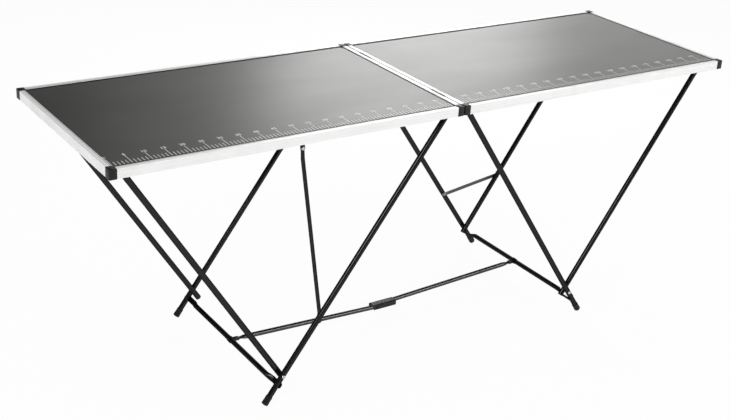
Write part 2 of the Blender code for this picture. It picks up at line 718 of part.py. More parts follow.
def strap_outline():
    """Lists the section of a strap: a ring round the crossbar with two tabs over the bar's flat end."""
    gap = FLAT_THICKNESS / 2 + FIT
    rim = gap + STRAP_WALL
    tab = STRAP_OUTER + STRAP_TAB
    outer = math.asin(rim / STRAP_OUTER)
    inner = math.asin(gap / STRAP_INNER)
    section = [(tab, gap), (tab, rim)]
    section += arc((0, 0), STRAP_OUTER, outer, 2 * math.pi - outer, ROUND_SIDES)
    section += [(tab, -rim), (tab, -gap)]
    section += arc((0, 0), STRAP_INNER, 2 * math.pi - inner, inner, ROUND_SIDES)
    return section


def build_bar(half, leg_pivot):
    """Builds a half bar, its strap on the crossbar and its rivet."""
    pivot = add_empty(
        half.node("bar_pivot"), leg_pivot, (CROSSBAR_REACH, 0, 0), (0, math.pi - BAR_ANGLE - LEG_ANGLE, 0))
    thin, wide = FLAT_THICKNESS / 2, BAR_FLAT_WIDTH / 2
    round_start = BAR_START + BAR_FLAT_LENGTH + JOGGLE_LENGTH
    end = BAR_REACH + BAR_LAP
    bar = add_part(half.node("bar"), loft_mesh([
        (BAR_START, 0, 0, thin, wide, 5),
        (BAR_START + BAR_FLAT_LENGTH, 0, 0, thin, wide, 5),
        (round_start - JOGGLE_LENGTH / 2, 0, 0, (thin + BAR_RADIUS) / 2, (wide + BAR_RADIUS) / 2, 3),
        (round_start, 0, 0, BAR_RADIUS, BAR_RADIUS, 2),
        (end, 0, 0, BAR_RADIUS, BAR_RADIUS, 2),
    ]), pivot, "tube", (0, BAR_Y, 0))
    rivet_x = STRAP_OUTER + STRAP_TAB / 2
    bore = SMALL_RIVET_RADIUS + FIT
    hole = cylinder_mesh(bore, (rivet_x, BAR_Y, -LEG_RADIUS), (rivet_x, BAR_Y, LEG_RADIUS))
    cutter = add_cutter(bar.name + "_hole", hole, pivot)
    inside = cylinder_mesh(BAR_RADIUS - TUBE_WALL, (round_start, BAR_Y, 0), (end + BAR_LAP, BAR_Y, 0))
    strap = add_part(
        half.node("bar_strap"), outline_mesh([strap_outline()], STRAP_WIDTH, "XZ"), pivot, "tube",
        (0, BAR_Y, 0))
    combine(bar, cutter)
    combine(bar, add_cutter(bar.name + "_inside", inside, pivot))
    combine(strap, cutter)
    face = FLAT_THICKNESS / 2 + FIT + STRAP_WALL + FIT
    rivet = rivet_mesh(2 * face, SMALL_RIVET_RADIUS, SMALL_HEAD_RADIUS, SMALL_HEAD_HEIGHT, True)
    add_rivet(half.node("bar_rivet"), rivet, pivot, (rivet_x, BAR_Y, face), (0, 0, 1))
    return pivot, bar


def build_clip(bar_pivot, bar):
    """Builds the clip on the left bar: a channel, open below, that keeps the right bar beside it."""
    carrier = add_empty(
        "clip_carrier", bar_pivot, (BAR_REACH, 0, 0), (0, BAR_ANGLE - math.pi, 0))
    room = BAR_RADIUS + math.tan(BAR_ANGLE) * CLIP_LENGTH / 2 + FIT
    roof = room + CLIP_WALL
    rim = roof - CLIP_HEIGHT
    channel = [
        (-CLIP_OUTER_Y, rim), (-CLIP_OUTER_Y, roof), (CLIP_OUTER_Y, roof), (CLIP_OUTER_Y, rim),
        (CLIP_INNER_Y, rim), (CLIP_INNER_Y, room), (-CLIP_INNER_Y, room), (-CLIP_INNER_Y, rim)]
    clip = add_part("centre_clip", outline_mesh([channel], CLIP_LENGTH, "YZ"), carrier, "tube")
    rivet_x = BAR_REACH - CLIP_RIVET_X
    hole = cylinder_mesh(SMALL_RIVET_RADIUS + FIT, (rivet_x, BAR_Y, 0), (rivet_x, BAR_Y + CLIP_LENGTH, 0))
    combine(bar, add_cutter("clip_rivet_hole", hole, bar_pivot))
    shank = CLIP_WALL + 2 * FIT + TUBE_WALL + SMALL_RIVET_RADIUS
    rivet = rivet_mesh(shank, SMALL_RIVET_RADIUS, SMALL_HEAD_RADIUS, SMALL_HEAD_HEIGHT)
    fuse_rivet(clip, "rivet", rivet, bar_pivot, (rivet_x, CLIP_OUTER_Y - FIT, 0), (0, 1, 0))


def build_strut(half):
    """Builds the left half's strut: bracket, hidden upper link and rod with flattened ends."""
    bore = RIVET_RADIUS + FIT
    top = add_empty(
        "strut_pivot", half.empty, (STRUT_TOP_X, 0, STRUT_TOP_Z), (0, math.pi - STRUT_ANGLE, 0))
    elbow = add_empty("strut_elbow", top, (STRUT_LINK, 0, 0))
    inner, outer = BRACKET_Y - BRACKET_WALL / 2, BRACKET_Y + BRACKET_WALL / 2
    seat = BOARD_BOTTOM - FIT
    bracket = add_part("strut_bracket", outline_mesh([[
        (inner, STRUT_TOP_Z - LINK_WIDTH / 2), (outer, STRUT_TOP_Z - LINK_WIDTH / 2),
        (outer, seat - BRACKET_WALL), (outer + BRACKET_FLANGE, seat - BRACKET_WALL),
        (outer + BRACKET_FLANGE, seat), (inner, seat)]], BRACKET_LENGTH, "YZ"),
        half.empty, "steel", (STRUT_TOP_X, 0, 0))
    hole = cylinder_mesh(bore, (0, inner - BRACKET_WALL, 0), (0, outer + BRACKET_WALL, 0))
    combine(bracket, add_cutter("strut_bracket_hole", hole, top))

    end = LINK_WIDTH / 2
    link = arc((STRUT_LINK, 0), end, -math.pi / 2, math.pi / 2, 8)
    link += arc((0, 0), end, math.pi / 2, 1.5 * math.pi, 8)
    holes = [circle((0, 0), bore), circle((STRUT_LINK, 0), bore)]
    add_part("strut_upper", outline_mesh([link] + holes, LINK_THICKNESS, "XZ"), top, "steel", (0, LINK_Y, 0))

    thin, wide = FLAT_THICKNESS / 2, STRUT_FLAT_WIDTH / 2
    tip = wide + RIVET_RADIUS / 2
    flat = STRUT_FLAT_LENGTH - tip
    rod = add_part("strut_lower", loft_mesh([
        (-tip, STRUT_HEAD_Y, 0, wide * 0.6, thin, 5),
        (-tip + wide / 2, STRUT_HEAD_Y, 0, wide, thin, 5),
        (flat, STRUT_HEAD_Y, 0, wide, thin, 5),
        (flat + JOGGLE_LENGTH, STRUT_Y, 0, STRUT_RADIUS, STRUT_RADIUS, 2),
        (STRUT_ROD - flat - JOGGLE_LENGTH, STRUT_Y, 0, STRUT_RADIUS, STRUT_RADIUS, 2),
        (STRUT_ROD - flat, STRUT_FOOT_Y, 0, wide, thin, 5),
        (STRUT_ROD + tip - wide / 2, STRUT_FOOT_Y, 0, wide, thin, 5),
        (STRUT_ROD + tip, STRUT_FOOT_Y, 0, wide * 0.6, thin, 5),
    ]), elbow, "tube")
    combine(rod, add_cutter("strut_elbow_hole", cylinder_mesh(bore, (0, 0, 0), (0, BRACKET_Y, 0)), elbow))

    pin = rivet_mesh(BRACKET_WALL + 2 * FIT + LINK_THICKNESS)
    add_rivet("strut_bracket_pin", pin, top, (0, outer + FIT, 0), (0, 1, 0))
    pin = rivet_mesh(LINK_THICKNESS + 2 * FIT + FLAT_THICKNESS)
    add_rivet("strut_elbow_pin", pin, top, (STRUT_LINK, LINK_Y + LINK_THICKNESS / 2 + FIT, 0), (0, 1, 0))


def build_stay(leg_pivot, leg_frame):
    """Builds the flat stay, which turns on a rivet through the right back long leg."""
    near, far = LEG_SPREAD - LEG_DIAMETER, LEG_SPREAD + LEG_DIAMETER
    bore_leg(leg_frame, leg_pivot, "stay_hole", (STAY_REACH, near, 0), (STAY_REACH, far, 0))
    rivet = rivet_mesh(LEG_DIAMETER + FIT + PROP_LAYER_GAP / 2 + STAY_THICKNESS / 2)
    add_rivet("stay_rivet", rivet, leg_pivot, (STAY_REACH, LEG_SPREAD + LEG_RADIUS + FIT, 0), (0, 1, 0))
    pivot = add_empty("stay_pivot", leg_pivot, (STAY_REACH, 0, 0), (0, -STAY_ANGLE - LEG_ANGLE, 0))
    low, high, half_width = -STAY_END, STAY_SPAN + STAY_END, STAY_WIDTH / 2
    edge = [(low, -half_width), (high, -half_width), (high, half_width), (low, half_width)]
    holes = [circle((x, 0), RIVET_RADIUS + FIT) for x in (0.0, STAY_SPAN)]
    add_part("stay", outline_mesh([edge] + holes, STAY_THICKNESS, "XZ"), pivot, "stay", (0, LAYER_MIDDLE, 0))


def main():
    """Builds the table."""
    clear_scene()
    reach = TABLE_LENGTH
    floor = add_cutter("floor", box_mesh((-reach, -reach, -reach), (reach, reach, 0)), None)
    for name, turn in (("left", math.pi), ("right", 0.0)):
        half = Half(name, turn)
        is_left = name == "left"
        build_caps(half, build_board(half))
        build_rails(half)
        build_saddles(half)
        build_hinge_leaves(half, outer_knuckles=is_left)
        leg_pivot, leg_frame = build_legs(half, floor)
        build_props(half)
        bar_pivot, bar = build_bar(half, leg_pivot)
        if is_left:
            build_hinge_pins(half)
            build_clip(bar_pivot, bar)
            build_strut(half)
        else:
            build_stay(leg_pivot, leg_frame)


main()
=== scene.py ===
"""Looks of a folding wallpaper pasting table: finishes, printed ruler, small fasteners, studio and camera."""

import json
import logging
import math
from dataclasses import dataclass
from enum import Enum
from typing import Any

import bmesh
import bpy
from bpy.types import ID, Material, Mesh, Node, NodeSocket, NodeTree, Object
from mathutils import Matrix, Vector

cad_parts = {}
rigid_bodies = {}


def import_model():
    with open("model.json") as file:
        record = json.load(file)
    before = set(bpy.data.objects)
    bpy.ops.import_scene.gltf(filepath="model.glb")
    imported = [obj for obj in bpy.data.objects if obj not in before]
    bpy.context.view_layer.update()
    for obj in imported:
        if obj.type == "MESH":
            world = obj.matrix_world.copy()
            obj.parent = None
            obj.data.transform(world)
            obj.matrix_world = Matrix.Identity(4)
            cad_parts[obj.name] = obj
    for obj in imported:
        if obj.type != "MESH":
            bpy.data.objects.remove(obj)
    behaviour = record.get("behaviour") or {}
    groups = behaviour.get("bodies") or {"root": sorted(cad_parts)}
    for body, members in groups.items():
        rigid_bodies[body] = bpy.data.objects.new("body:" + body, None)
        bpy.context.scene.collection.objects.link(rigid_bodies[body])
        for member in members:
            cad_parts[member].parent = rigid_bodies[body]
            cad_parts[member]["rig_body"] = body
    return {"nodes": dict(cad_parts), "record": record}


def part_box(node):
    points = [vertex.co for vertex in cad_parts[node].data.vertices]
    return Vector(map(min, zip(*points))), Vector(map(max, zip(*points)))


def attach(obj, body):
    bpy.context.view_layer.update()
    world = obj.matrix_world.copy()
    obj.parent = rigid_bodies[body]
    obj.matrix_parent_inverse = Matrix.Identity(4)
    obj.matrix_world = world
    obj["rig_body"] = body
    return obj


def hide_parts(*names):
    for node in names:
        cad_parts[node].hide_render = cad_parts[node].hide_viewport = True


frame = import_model()
log = logging.getLogger("pasting_table")

Triple = tuple[float, float, float]
Profile = tuple[tuple[float, float], ...]

BOARD_BOTTOM, BOARD_TOP = (corner[2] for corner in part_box("left_board"))
RAIL_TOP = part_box("left_rail_front")[1][2]
TABLE_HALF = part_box("right_rail_end")[1][0]
# The long legs' slope against the floor, in radians, and their distance from the middle line.
LEG_SLOPE = 0.95141
LEG_Y = 0.271
# Every fifth tick of the ruler is long and has a figure.
LONG_EVERY = 5
UNIT: Triple = (1.0, 1.0, 1.0)
# Points closer than these are merged, and edges flatter than these are shaded round.
WELD = 1e-6
TURN_WELD = 1e-5
SHARP_EDGE = math.radians(40.0)
SHARP_CAD_EDGE = math.radians(32.0)
# Numbers of sockets that share their names with other sockets of their node.
COMPARE_VECTORS = (4, 5)
MIX_COLOURS = (6, 7)
MIX_RESULT = 2


class Slot(Enum):
    """The record's material slots."""

    BOARD = "board"
    RAIL = "rail"
    CAP = "cap"
    TUBE = "tube"
    FOOT = "foot"
    STEEL = "steel"
    STAY = "stay"


class Half(Enum):
    """The two halves of the table, with the side of the middle that each one is on."""

    LEFT = "left"
    RIGHT = "right"

    @property
    def sign(self) -> int:
        """Minus one on the left half, plus one on the right half."""
        return -1 if self is Half.LEFT else 1


class Run(Enum):
    """The direction that a rail's length runs in."""

    LONG = "x"
    CROSS = "y"


class Wave:
    """A shader value that can be used in Python arithmetic; each operation adds a Math node."""

    def __init__(self, graph: "Graph", socket: NodeSocket) -> None:
        """Wraps a socket.

        Args:
            graph: the node builder that further nodes are added to.
            socket: the output socket that carries the value.
        """
        self.graph = graph
        self.socket = socket

    def _maths(self, operation: str, first: Any, second: Any) -> "Wave":
        """Adds one Math node.

        Args:
            operation: the Math node's operation.
            first: a Wave or a number.
            second: a Wave or a number.

        Returns:
            The result as a Wave.
        """
        made = self.graph.node("ShaderNodeMath", {"operation": operation}, {0: first, 1: second})
        return Wave(self.graph, made.outputs[0])

    def __add__(self, other: Any) -> "Wave":
        """Sum."""
        return self._maths("ADD", self, other)

    def __radd__(self, other: Any) -> "Wave":
        """Reflected sum."""
        return self._maths("ADD", other, self)

    def __sub__(self, other: Any) -> "Wave":
        """Difference."""
        return self._maths("SUBTRACT", self, other)

    def __rsub__(self, other: Any) -> "Wave":
        """Reflected difference."""
        return self._maths("SUBTRACT", other, self)

    def __mul__(self, other: Any) -> "Wave":
        """Product."""
        return self._maths("MULTIPLY", self, other)

    def __rmul__(self, other: Any) -> "Wave":
        """Reflected product."""
        return self._maths("MULTIPLY", other, self)

    def __abs__(self) -> "Wave":
        """Absolute value."""
        return self._maths("ABSOLUTE", self, 0.0)

    def most(self, other: Any) -> "Wave":
        """The larger of two values."""
        return self._maths("MAXIMUM", self, other)

    def sine(self) -> "Wave":
        """Sine of the value."""
        return self._maths("SINE", self, 0.0)

    def ramp(self, low: float, high: float) -> "Wave":
        """A smooth step from 0 at low to 1 at high.

        Args:
            low: the value where the step starts.
            high: the value where the step ends.

        Returns:
            The step as a Wave.
        """
        made = self.graph.node(
            "ShaderNodeMapRange", {"interpolation_type": "SMOOTHSTEP"},
            {"Value": self, "From Min": low, "From Max": high, "To Min": 0.0, "To Max": 1.0})
        return Wave(self.graph, made.outputs["Result"])

    def line(self, place: float, half_width: float) -> "Wave":
        """A soft line, 1 where the value is at place and 0 beyond half_width from it.

        Args:
            place: the value at the middle of the line.
            half_width: how far from the middle the line reaches.

        Returns:
            The line as a Wave.
        """
        return 1.0 - abs(self - place).ramp(0.35 * half_width, half_width)


class Graph:
    """A node tree that nodes are added to."""

    def __init__(self, tree: NodeTree) -> None:
        """Takes the tree over, as it is."""
        self.tree = tree

    def node(self, kind: str, settings: dict[str, Any], values: dict[Any, Any]) -> Node:
        """Adds any node.

        Args:
            kind: the node's type.
            settings: properties that are set first.
            values: what goes into the node's input sockets, by name or number: a value, or a link from a
                Wave, from an output socket or from another node's first output.

        Returns:
            The node.
        """
        made = self.tree.nodes.new(kind)
        for key, value in settings.items():
            setattr(made, key, value)
        for key, value in values.items():
            if isinstance(value, Wave):
                value = value.socket
            elif isinstance(value, Node):
                value = value.outputs[0]
            if isinstance(value, NodeSocket):
                self.tree.links.new(value, made.inputs[key])
            else:
                made.inputs[key].default_value = value
        return made


class Nodes(Graph):
    """Builds the shader nodes of one material, or of the world."""

    def __init__(self, name: str, world: bool = False) -> None:
        """Starts a material or a world with an empty tree.

        Args:
            name: its name.
            world: whether it is a world.
        """
        store = bpy.data.worlds if world else bpy.data.materials
        self.owner = store.new(name)
        self.owner.use_nodes = True
        super().__init__(self.owner.node_tree)
        self.tree.nodes.clear()

    def place(self, scale: Triple = UNIT) -> NodeSocket:
        """Object coordinates, stretched.

        Args:
            scale: factors along x, y and z.

        Returns:
            The vector socket.
        """
        coordinates = self.node("ShaderNodeTexCoord", {}, {}).outputs["Object"]
        if scale == UNIT:
            return coordinates
        return self.node("ShaderNodeMapping", {}, {"Vector": coordinates, "Scale": scale}).outputs["Vector"]

    def axes(self) -> tuple[Wave, Wave, Wave]:
        """Object coordinates as three separate values."""
        parts = self.node("ShaderNodeSeparateXYZ", {}, {"Vector": self.place()})
        return tuple(Wave(self, out) for out in parts.outputs)

    def noise(self, scale: float, stretch: Triple = UNIT, detail: float = 3.0) -> Wave:
        """Cloudy noise between 0 and 1.

        Args:
            scale: how many clouds there are to a metre.
            stretch: factors along x, y and z.
            detail: how many finer layers are added.

        Returns:
            The noise as a Wave.
        """
        made = self.node(
            "ShaderNodeTexNoise", {}, {"Vector": self.place(stretch), "Scale": scale, "Detail": detail})
        return Wave(self, made.outputs[0])

    def cells(self, scale: float) -> Wave:
        """Distance to the nearest of many scattered points, for grains and spangles.

        Args:
            scale: how many points there are to a metre.

        Returns:
            The distance as a Wave.
        """
        made = self.node("ShaderNodeTexVoronoi", {}, {"Vector": self.place(), "Scale": scale})
        return Wave(self, made.outputs["Distance"])

    def mix(self, factor: Wave, first: Any, second: Any) -> NodeSocket:
        """Mixes two colours.

        Args:
            factor: 0 for the first colour, 1 for the second.
            first: a colour or a colour socket.
            second: a colour or a colour socket.

        Returns:
            The mixed colour's socket.
        """
        values = {0: factor}
        for number, colour in zip(MIX_COLOURS, (first, second)):
            values[number] = colour if isinstance(colour, NodeSocket) else (*colour, 1.0)
        return self.node("ShaderNodeMix", {"data_type": "RGBA"}, values).outputs[MIX_RESULT]

    def finish(self, values: dict[str, Any], height: Wave, depth: float) -> Material:
        """Ends a material's tree in one Principled surface with a relief.

        Args:
            values: the surface's sockets.
            height: the relief, for a Bump node.
            depth: the relief's depth in metres.

        Returns:
            The material.
        """
        bump = self.node("ShaderNodeBump", {}, {"Height": height, "Distance": depth, "Strength": 1.0})
        surface = self.node("ShaderNodeBsdfPrincipled", {}, {**values, "Normal": bump})
        self.node("ShaderNodeOutputMaterial", {}, {"Surface": surface})
        return self.owner


@dataclass(frozen=True)
class BoardFinish:
    """Dark satin-lacquered hardboard, with a raw fibre underside and a darker line of painted shade beside
    the lips.
    """

    lacquer: Triple = (0.026, 0.026, 0.024)
    lacquer_worn: Triple = (0.036, 0.036, 0.033)
    sheen: Triple = (1.0, 1.0, 0.955)
    # Painted shade: colour of the line beside the lips, where the lips' step shades the board.
    line: Triple = (0.006, 0.006, 0.006)
    fibre: Triple = (0.115, 0.075, 0.045)
    fibre_dark: Triple = (0.070, 0.045, 0.028)
    under_band: tuple[float, float] = (BOARD_BOTTOM + 0.0002, BOARD_BOTTOM + 0.0001)
    step_band: tuple[float, float] = (BOARD_TOP - 0.0002, BOARD_TOP - 0.0004)
    margin_y: float = 0.277
    margin_x: float = 0.0195
    soft: float = 0.0003
    cloud_scale: float = 5.0
    speckle_scale: float = 1400.0
    wipe_scale: float = 9.0
    fibre_scale: float = 260.0
    mesh_waves: float = 3200.0
    along: Triple = (0.25, 1.0, 1.0)
    fibre_run: Triple = (0.35, 1.0, 1.0)
    depth: float = 0.00003

    def material(self) -> Material:
        """Mixes the finish.

        Returns:
            The finish as a material.
        """
        nodes = Nodes("board_lacquer")
        x, y, height = nodes.axes()
        clouds = nodes.noise(self.cloud_scale, detail=4.0)
        speckle = nodes.noise(self.speckle_scale, detail=2.0)
        wiped = nodes.noise(self.wipe_scale, self.along, 5.0)
        under = height.ramp(*self.under_band)
        step = height.ramp(*self.step_band)
        edge = abs(y).ramp(self.margin_y - self.soft, self.margin_y + self.soft)
        # Painted shade: mask of the dark line on the board's edge faces, beside the front and back lips and
        # next to the middle.
        low = step.most(edge).most(abs(x).ramp(self.margin_x + self.soft, self.margin_x - self.soft))
        lacquer = nodes.mix((0.65 * clouds + 0.35 * speckle).ramp(0.3, 0.7), self.lacquer, self.lacquer_worn)
        shade_lined = nodes.mix(low, lacquer, self.line)
        fibres = nodes.noise(self.fibre_scale, self.fibre_run, 6.0).ramp(0.35, 0.68)
        raw = nodes.mix(fibres, self.fibre_dark, self.fibre)
        mesh_print = (x * self.mesh_waves).sine() * (y * self.mesh_waves).sine()
        gloss = 0.38 + 0.035 * wiped.ramp(0.2, 0.8) + 0.03 * speckle
        rough = gloss + low * 0.45 + under * 0.45
        relief = 0.5 * speckle * (1.0 - under) + (0.6 * mesh_print + 0.8 * fibres) * under
        return nodes.finish(
            {"Base Color": nodes.mix(under, shade_lined, raw), "Roughness": rough,
             "Specular Tint": (*self.sheen, 1.0)},
            relief, self.depth)


@dataclass(frozen=True)
class RailFinish:
    """Mill-finished extruded aluminium, drawn along the rail, with one groove along the lip holding painted
    shade, and painted shade along the middle rails' edge beside the gap.
    """

    run: Run = Run.LONG
    groove: float = 0.289
    metal: Triple = (0.90, 0.90, 0.895)
    metal_dull: Triple = (0.80, 0.80, 0.795)
    # Painted shade: colour laid into the groove along the lip.
    groove_shade: Triple = (0.16, 0.16, 0.16)
    # Painted shade: colour of the strip along the middle rails' edge beside the gap between the halves.
    gap_shade: Triple = (0.05, 0.05, 0.05)
    groove_half_width: float = 0.0011
    lip_band: tuple[float, float] = (RAIL_TOP - 0.0004, RAIL_TOP - 0.0002)
    # How far from the middle the painted gap shade reaches; zero leaves it out.
    gap_shade_reach: float = 0.0
    soft: float = 0.0003
    drawn: tuple[float, float] = (1.5, 420.0)
    fine_scale: float = 4.0
    handled_scale: float = 14.0
    metallic: float = 0.3
    depth: float = 0.00006

    def material(self) -> Material:
        """Mixes the finish.

        Returns:
            The finish as a material.
        """
        nodes = Nodes("rail_aluminium_%s_%03.0f" % (self.run.value, self.groove * 1000))
        x, y, height = nodes.axes()
        slow, fast = self.drawn
        if self.run is Run.LONG:
            along, across = (slow, fast, fast), abs(y)
        else:
            along, across = (fast, slow, fast), abs(x)
        drawn = nodes.noise(1.0, along, 4.0)
        fine = nodes.noise(self.fine_scale, along, 2.0)
        handled = nodes.noise(self.handled_scale, detail=4.0)
        # The groove's mask shapes its relief and carries the painted shade in it.
        groove = across.line(self.groove, self.groove_half_width) * height.ramp(*self.lip_band)
        tone = nodes.mix((0.6 * drawn + 0.4 * handled).ramp(0.35, 0.72), self.metal, self.metal_dull)
        colour = nodes.mix(groove * 0.75, tone, self.groove_shade)
        # Painted shade: darkens the middle rails' edge beside the gap between the halves.
        if self.gap_shade_reach:
            gap_shade_mask = across.ramp(self.gap_shade_reach + self.soft, self.gap_shade_reach)
            colour = nodes.mix(gap_shade_mask, colour, self.gap_shade)
        rough = 0.36 + 0.12 * fine + 0.10 * handled.ramp(0.4, 0.75)
        relief = 0.35 * drawn + 0.25 * fine - 6.0 * groove
        return nodes.finish(
            {"Base Color": colour, "Metallic": self.metallic, "Roughness": rough}, relief, self.depth)


@dataclass(frozen=True)
class PlasticFinish:
    """Black moulded plastic: fine spark grain, paler rub marks, parting line, and rings on the feet."""

    name: str
    body: Triple
    rubbed: Triple
    gloss: float
    shine: float
    seam: float = 0.7790
    rings: bool = False
    slope: float = LEG_SLOPE
    pitch: float = 0.0045
    seam_half_width: float = 0.0008
    grain_scale: float = 1900.0
    rub_scale: float = 130.0
    depth: float = 0.00008

    def material(self) -> Material:
        """Mixes the finish.

        Returns:
            The finish as a material.
        """
        nodes = Nodes(self.name)
        x, _, z = nodes.axes()
        grain = nodes.cells(self.grain_scale)
        rub = nodes.noise(self.rub_scale, detail=5.0).ramp(0.52, 0.74)
        if self.rings:
            reach = abs(x) * math.cos(self.slope) - z * math.sin(self.slope)
            marks = (reach * (2.0 * math.pi / self.pitch)).sine().ramp(0.55, 0.95)
        else:
            marks = z.line(self.seam, self.seam_half_width)
        colour = nodes.mix(rub * (1.0 - marks), self.body, self.rubbed)
        rough = self.gloss + 0.14 * rub + 0.10 * grain
        relief = 0.25 * grain + 0.1 * rub - 5.0 * marks
        return nodes.finish(
            {"Base Color": colour, "Roughness": rough, "Specular IOR Level": self.shine}, relief, self.depth)


@dataclass(frozen=True)
class TubeFinish:
    """Black coat on steel tube: orange peel, soft scuffs, a little dust low down, and a dark rim."""

    name: str = "tube_black_coat"
    coat: Triple = (0.029, 0.029, 0.0295)
    scuffed: Triple = (0.043, 0.043, 0.043)
    dust: Triple = (0.046, 0.045, 0.043)
    metallic: float = 0.9
    shine: float = 0.3
    rim: float = 0.15
    dust_height: float = 0.10
    peel_scale: float = 420.0
    scuff_scale: float = 38.0
    scuff_run: Triple = (1.0, 1.0, 0.5)
    dust_scale: float = 90.0
    depth: float = 0.000006

    def material(self) -> Material:
        """Mixes the finish.

        Returns:
            The finish as a material.
        """
        nodes = Nodes(self.name)
        z = nodes.axes()[2]
        peel = nodes.noise(self.peel_scale, detail=2.0)
        scuff = nodes.noise(self.scuff_scale, self.scuff_run, 6.0).ramp(0.58, 0.78)
        low = z.ramp(self.dust_height, 0.0) * nodes.noise(self.dust_scale, detail=4.0).ramp(0.5, 0.8)
        colour = nodes.mix(low * 0.5, nodes.mix(scuff * 0.6, self.coat, self.scuffed), self.dust)
        rough = 0.17 + 0.14 * scuff + 0.03 * peel + 0.20 * low
        return nodes.finish(
            {"Base Color": colour, "Roughness": rough, "Metallic": self.metallic,
             "Specular IOR Level": self.shine, "Specular Tint": (self.rim, self.rim, self.rim, 1.0)},
            peel, self.depth)


@dataclass(frozen=True)
class SteelFinish:
    """Zinc-plated steel with a cloudy spangle and fine scratches."""

    bright: Triple = (0.70, 0.70, 0.68)
    dull: Triple = (0.46, 0.46, 0.45)
    spangle_scale: float = 520.0
    cloud_scale: float = 240.0
    scratch_scale: float = 60.0
    scratch_run: Triple = (1.0, 24.0, 1.0)
    depth: float = 0.00003

    def material(self) -> Material:
        """Mixes the finish.

        Returns:
            The finish as a material.
        """
        nodes = Nodes("zinc_steel")
        spangle = nodes.cells(self.spangle_scale)
        cloud = nodes.noise(self.cloud_scale, detail=4.0)
        scratch = nodes.noise(self.scratch_scale, self.scratch_run)
        colour = nodes.mix((0.5 * spangle + 0.5 * cloud).ramp(0.3, 0.7), self.bright, self.dull)
        rough = 0.22 + 0.16 * cloud + 0.08 * scratch
        relief = 0.4 * scratch + 0.2 * cloud
        return nodes.finish({"Base Color": colour, "Metallic": 1.0, "Roughness": rough}, relief, self.depth)


@dataclass(frozen=True)
class StayFinish:
    """Grey satin strip steel, brushed along the strip, paler where its ends were pressed."""

    strip: Triple = (0.070, 0.070, 0.067)
    brushed: Triple = (0.100, 0.100, 0.096)
    pressed: Triple = (0.16, 0.16, 0.155)
    inner_end: float = 0.432
    outer_end: float = 0.615
    soft: float = 0.003
    metallic: float = 0.55
    brush_scale: float = 3.0
    brush_run: Triple = (4.0, 300.0, 300.0)
    cloud_scale: float = 70.0
    depth: float = 0.00004

    def material(self) -> Material:
        """Mixes the finish.

        Returns:
            The finish as a material.
        """
        nodes = Nodes("stay_strip")
        x = nodes.axes()[0]
        brush = nodes.noise(self.brush_scale, self.brush_run, 4.0)
        cloud = nodes.noise(self.cloud_scale, detail=4.0)
        inner = x.ramp(self.inner_end + self.soft, self.inner_end - self.soft)
        ends = inner.most(x.ramp(self.outer_end - self.soft, self.outer_end + self.soft))
        tone = nodes.mix((0.6 * brush + 0.4 * cloud).ramp(0.35, 0.7), self.strip, self.brushed)
        rough = 0.36 + 0.14 * brush + 0.08 * cloud
        colour = nodes.mix(ends * 0.8, tone, self.pressed)
        return nodes.finish(
            {"Base Color": colour, "Metallic": self.metallic, "Roughness": rough},
            0.6 * brush + 0.2 * cloud, self.depth)


@dataclass(frozen=True)
class InkFinish:
    """Pale screen-printed ink, thin in places and rubbed by use."""

    ink: Triple = (0.74, 0.74, 0.70)
    thin: Triple = (0.46, 0.46, 0.43)
    rub_scale: float = 55.0
    dot_scale: float = 1800.0
    depth: float = 0.00001

    def material(self) -> Material:
        """Mixes the finish.

        Returns:
            The finish as a material.
        """
        nodes = Nodes("ruler_ink")
        rub = nodes.noise(self.rub_scale, detail=5.0).ramp(0.45, 0.78)
        dots = nodes.noise(self.dot_scale, detail=2.0)
        colour = nodes.mix(rub * 0.7 + dots * 0.2, self.ink, self.thin)
        return nodes.finish({"Base Color": colour, "Roughness": 0.42 + 0.14 * dots}, dots, self.depth)


def add_object(name: str, data: ID) -> Object:
    """Makes an object and links it to the scene.

    Args:
        name: the object's name.
        data: its mesh, text, light or camera.

    Returns:
        The object.
    """
    made = bpy.data.objects.new(name, data)
    bpy.context.scene.collection.objects.link(made)
    return made


def settle(name: str, carrier: Object) -> Object:
    """Turns an evaluated object into a plain mesh piece and removes the carrier.

    Args:
        name: the new piece's name.
        carrier: the object whose modifiers or text make the shape.

    Returns:
        The piece, at the origin.
    """
    graph = bpy.context.evaluated_depsgraph_get()
    graph.update()
    mesh = bpy.data.meshes.new_from_object(carrier.evaluated_get(graph), depsgraph=graph)
    mesh.transform(carrier.matrix_world)
    bpy.data.objects.remove(carrier)
    return add_object(name, mesh)


def shaded_mesh(name: str, shape: bmesh.types.BMesh) -> Mesh:
    """Turns the faces of a closed shape outwards and shades it round, apart from its sharp edges.

    Args:
        name: the mesh's name.
        shape: the shape, which is freed.

    Returns:
        The mesh.
    """
    bmesh.ops.recalc_face_normals(shape, faces=shape.faces)
    for face in shape.faces:
        face.smooth = True
    for edge in shape.edges:
        edge.smooth = edge.calc_face_angle(0.0) < SHARP_EDGE
    mesh = bpy.data.meshes.new(name)
    shape.to_mesh(mesh)
    shape.free()
    return mesh


def turned(name: str, profile: Profile, sides: int) -> Object:
    """Turns a profile about Z.

    Args:
        name: the object's name.
        profile: radius and height of each point.
        sides: how many steps make a full turn.

    Returns:
        The object, not linked to the scene.
    """
    shape = bmesh.new()
    verts = [shape.verts.new((radius, 0.0, height)) for radius, height in profile]
    edges = [shape.edges.new(pair) for pair in zip(verts, verts[1:])]
    bmesh.ops.spin(
        shape, geom=verts + edges, cent=(0, 0, 0), axis=(0, 0, 1), angle=2 * math.pi, steps=sides,
        use_duplicate=False)
    bmesh.ops.remove_doubles(shape, verts=shape.verts, dist=TURN_WELD)
    bmesh.ops.holes_fill(shape, edges=[edge for edge in shape.edges if edge.is_boundary], sides=0)
    return bpy.data.objects.new(name, shaded_mesh(name, shape))


def mount(piece: Object, body: str) -> None:
    """Sets a finished piece on its body, and reports it.

    Args:
        piece: the piece.
        body: the body that it moves with.
    """
    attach(piece, body)
    log.info("%s: %d faces", piece.name, len(piece.data.polygons))


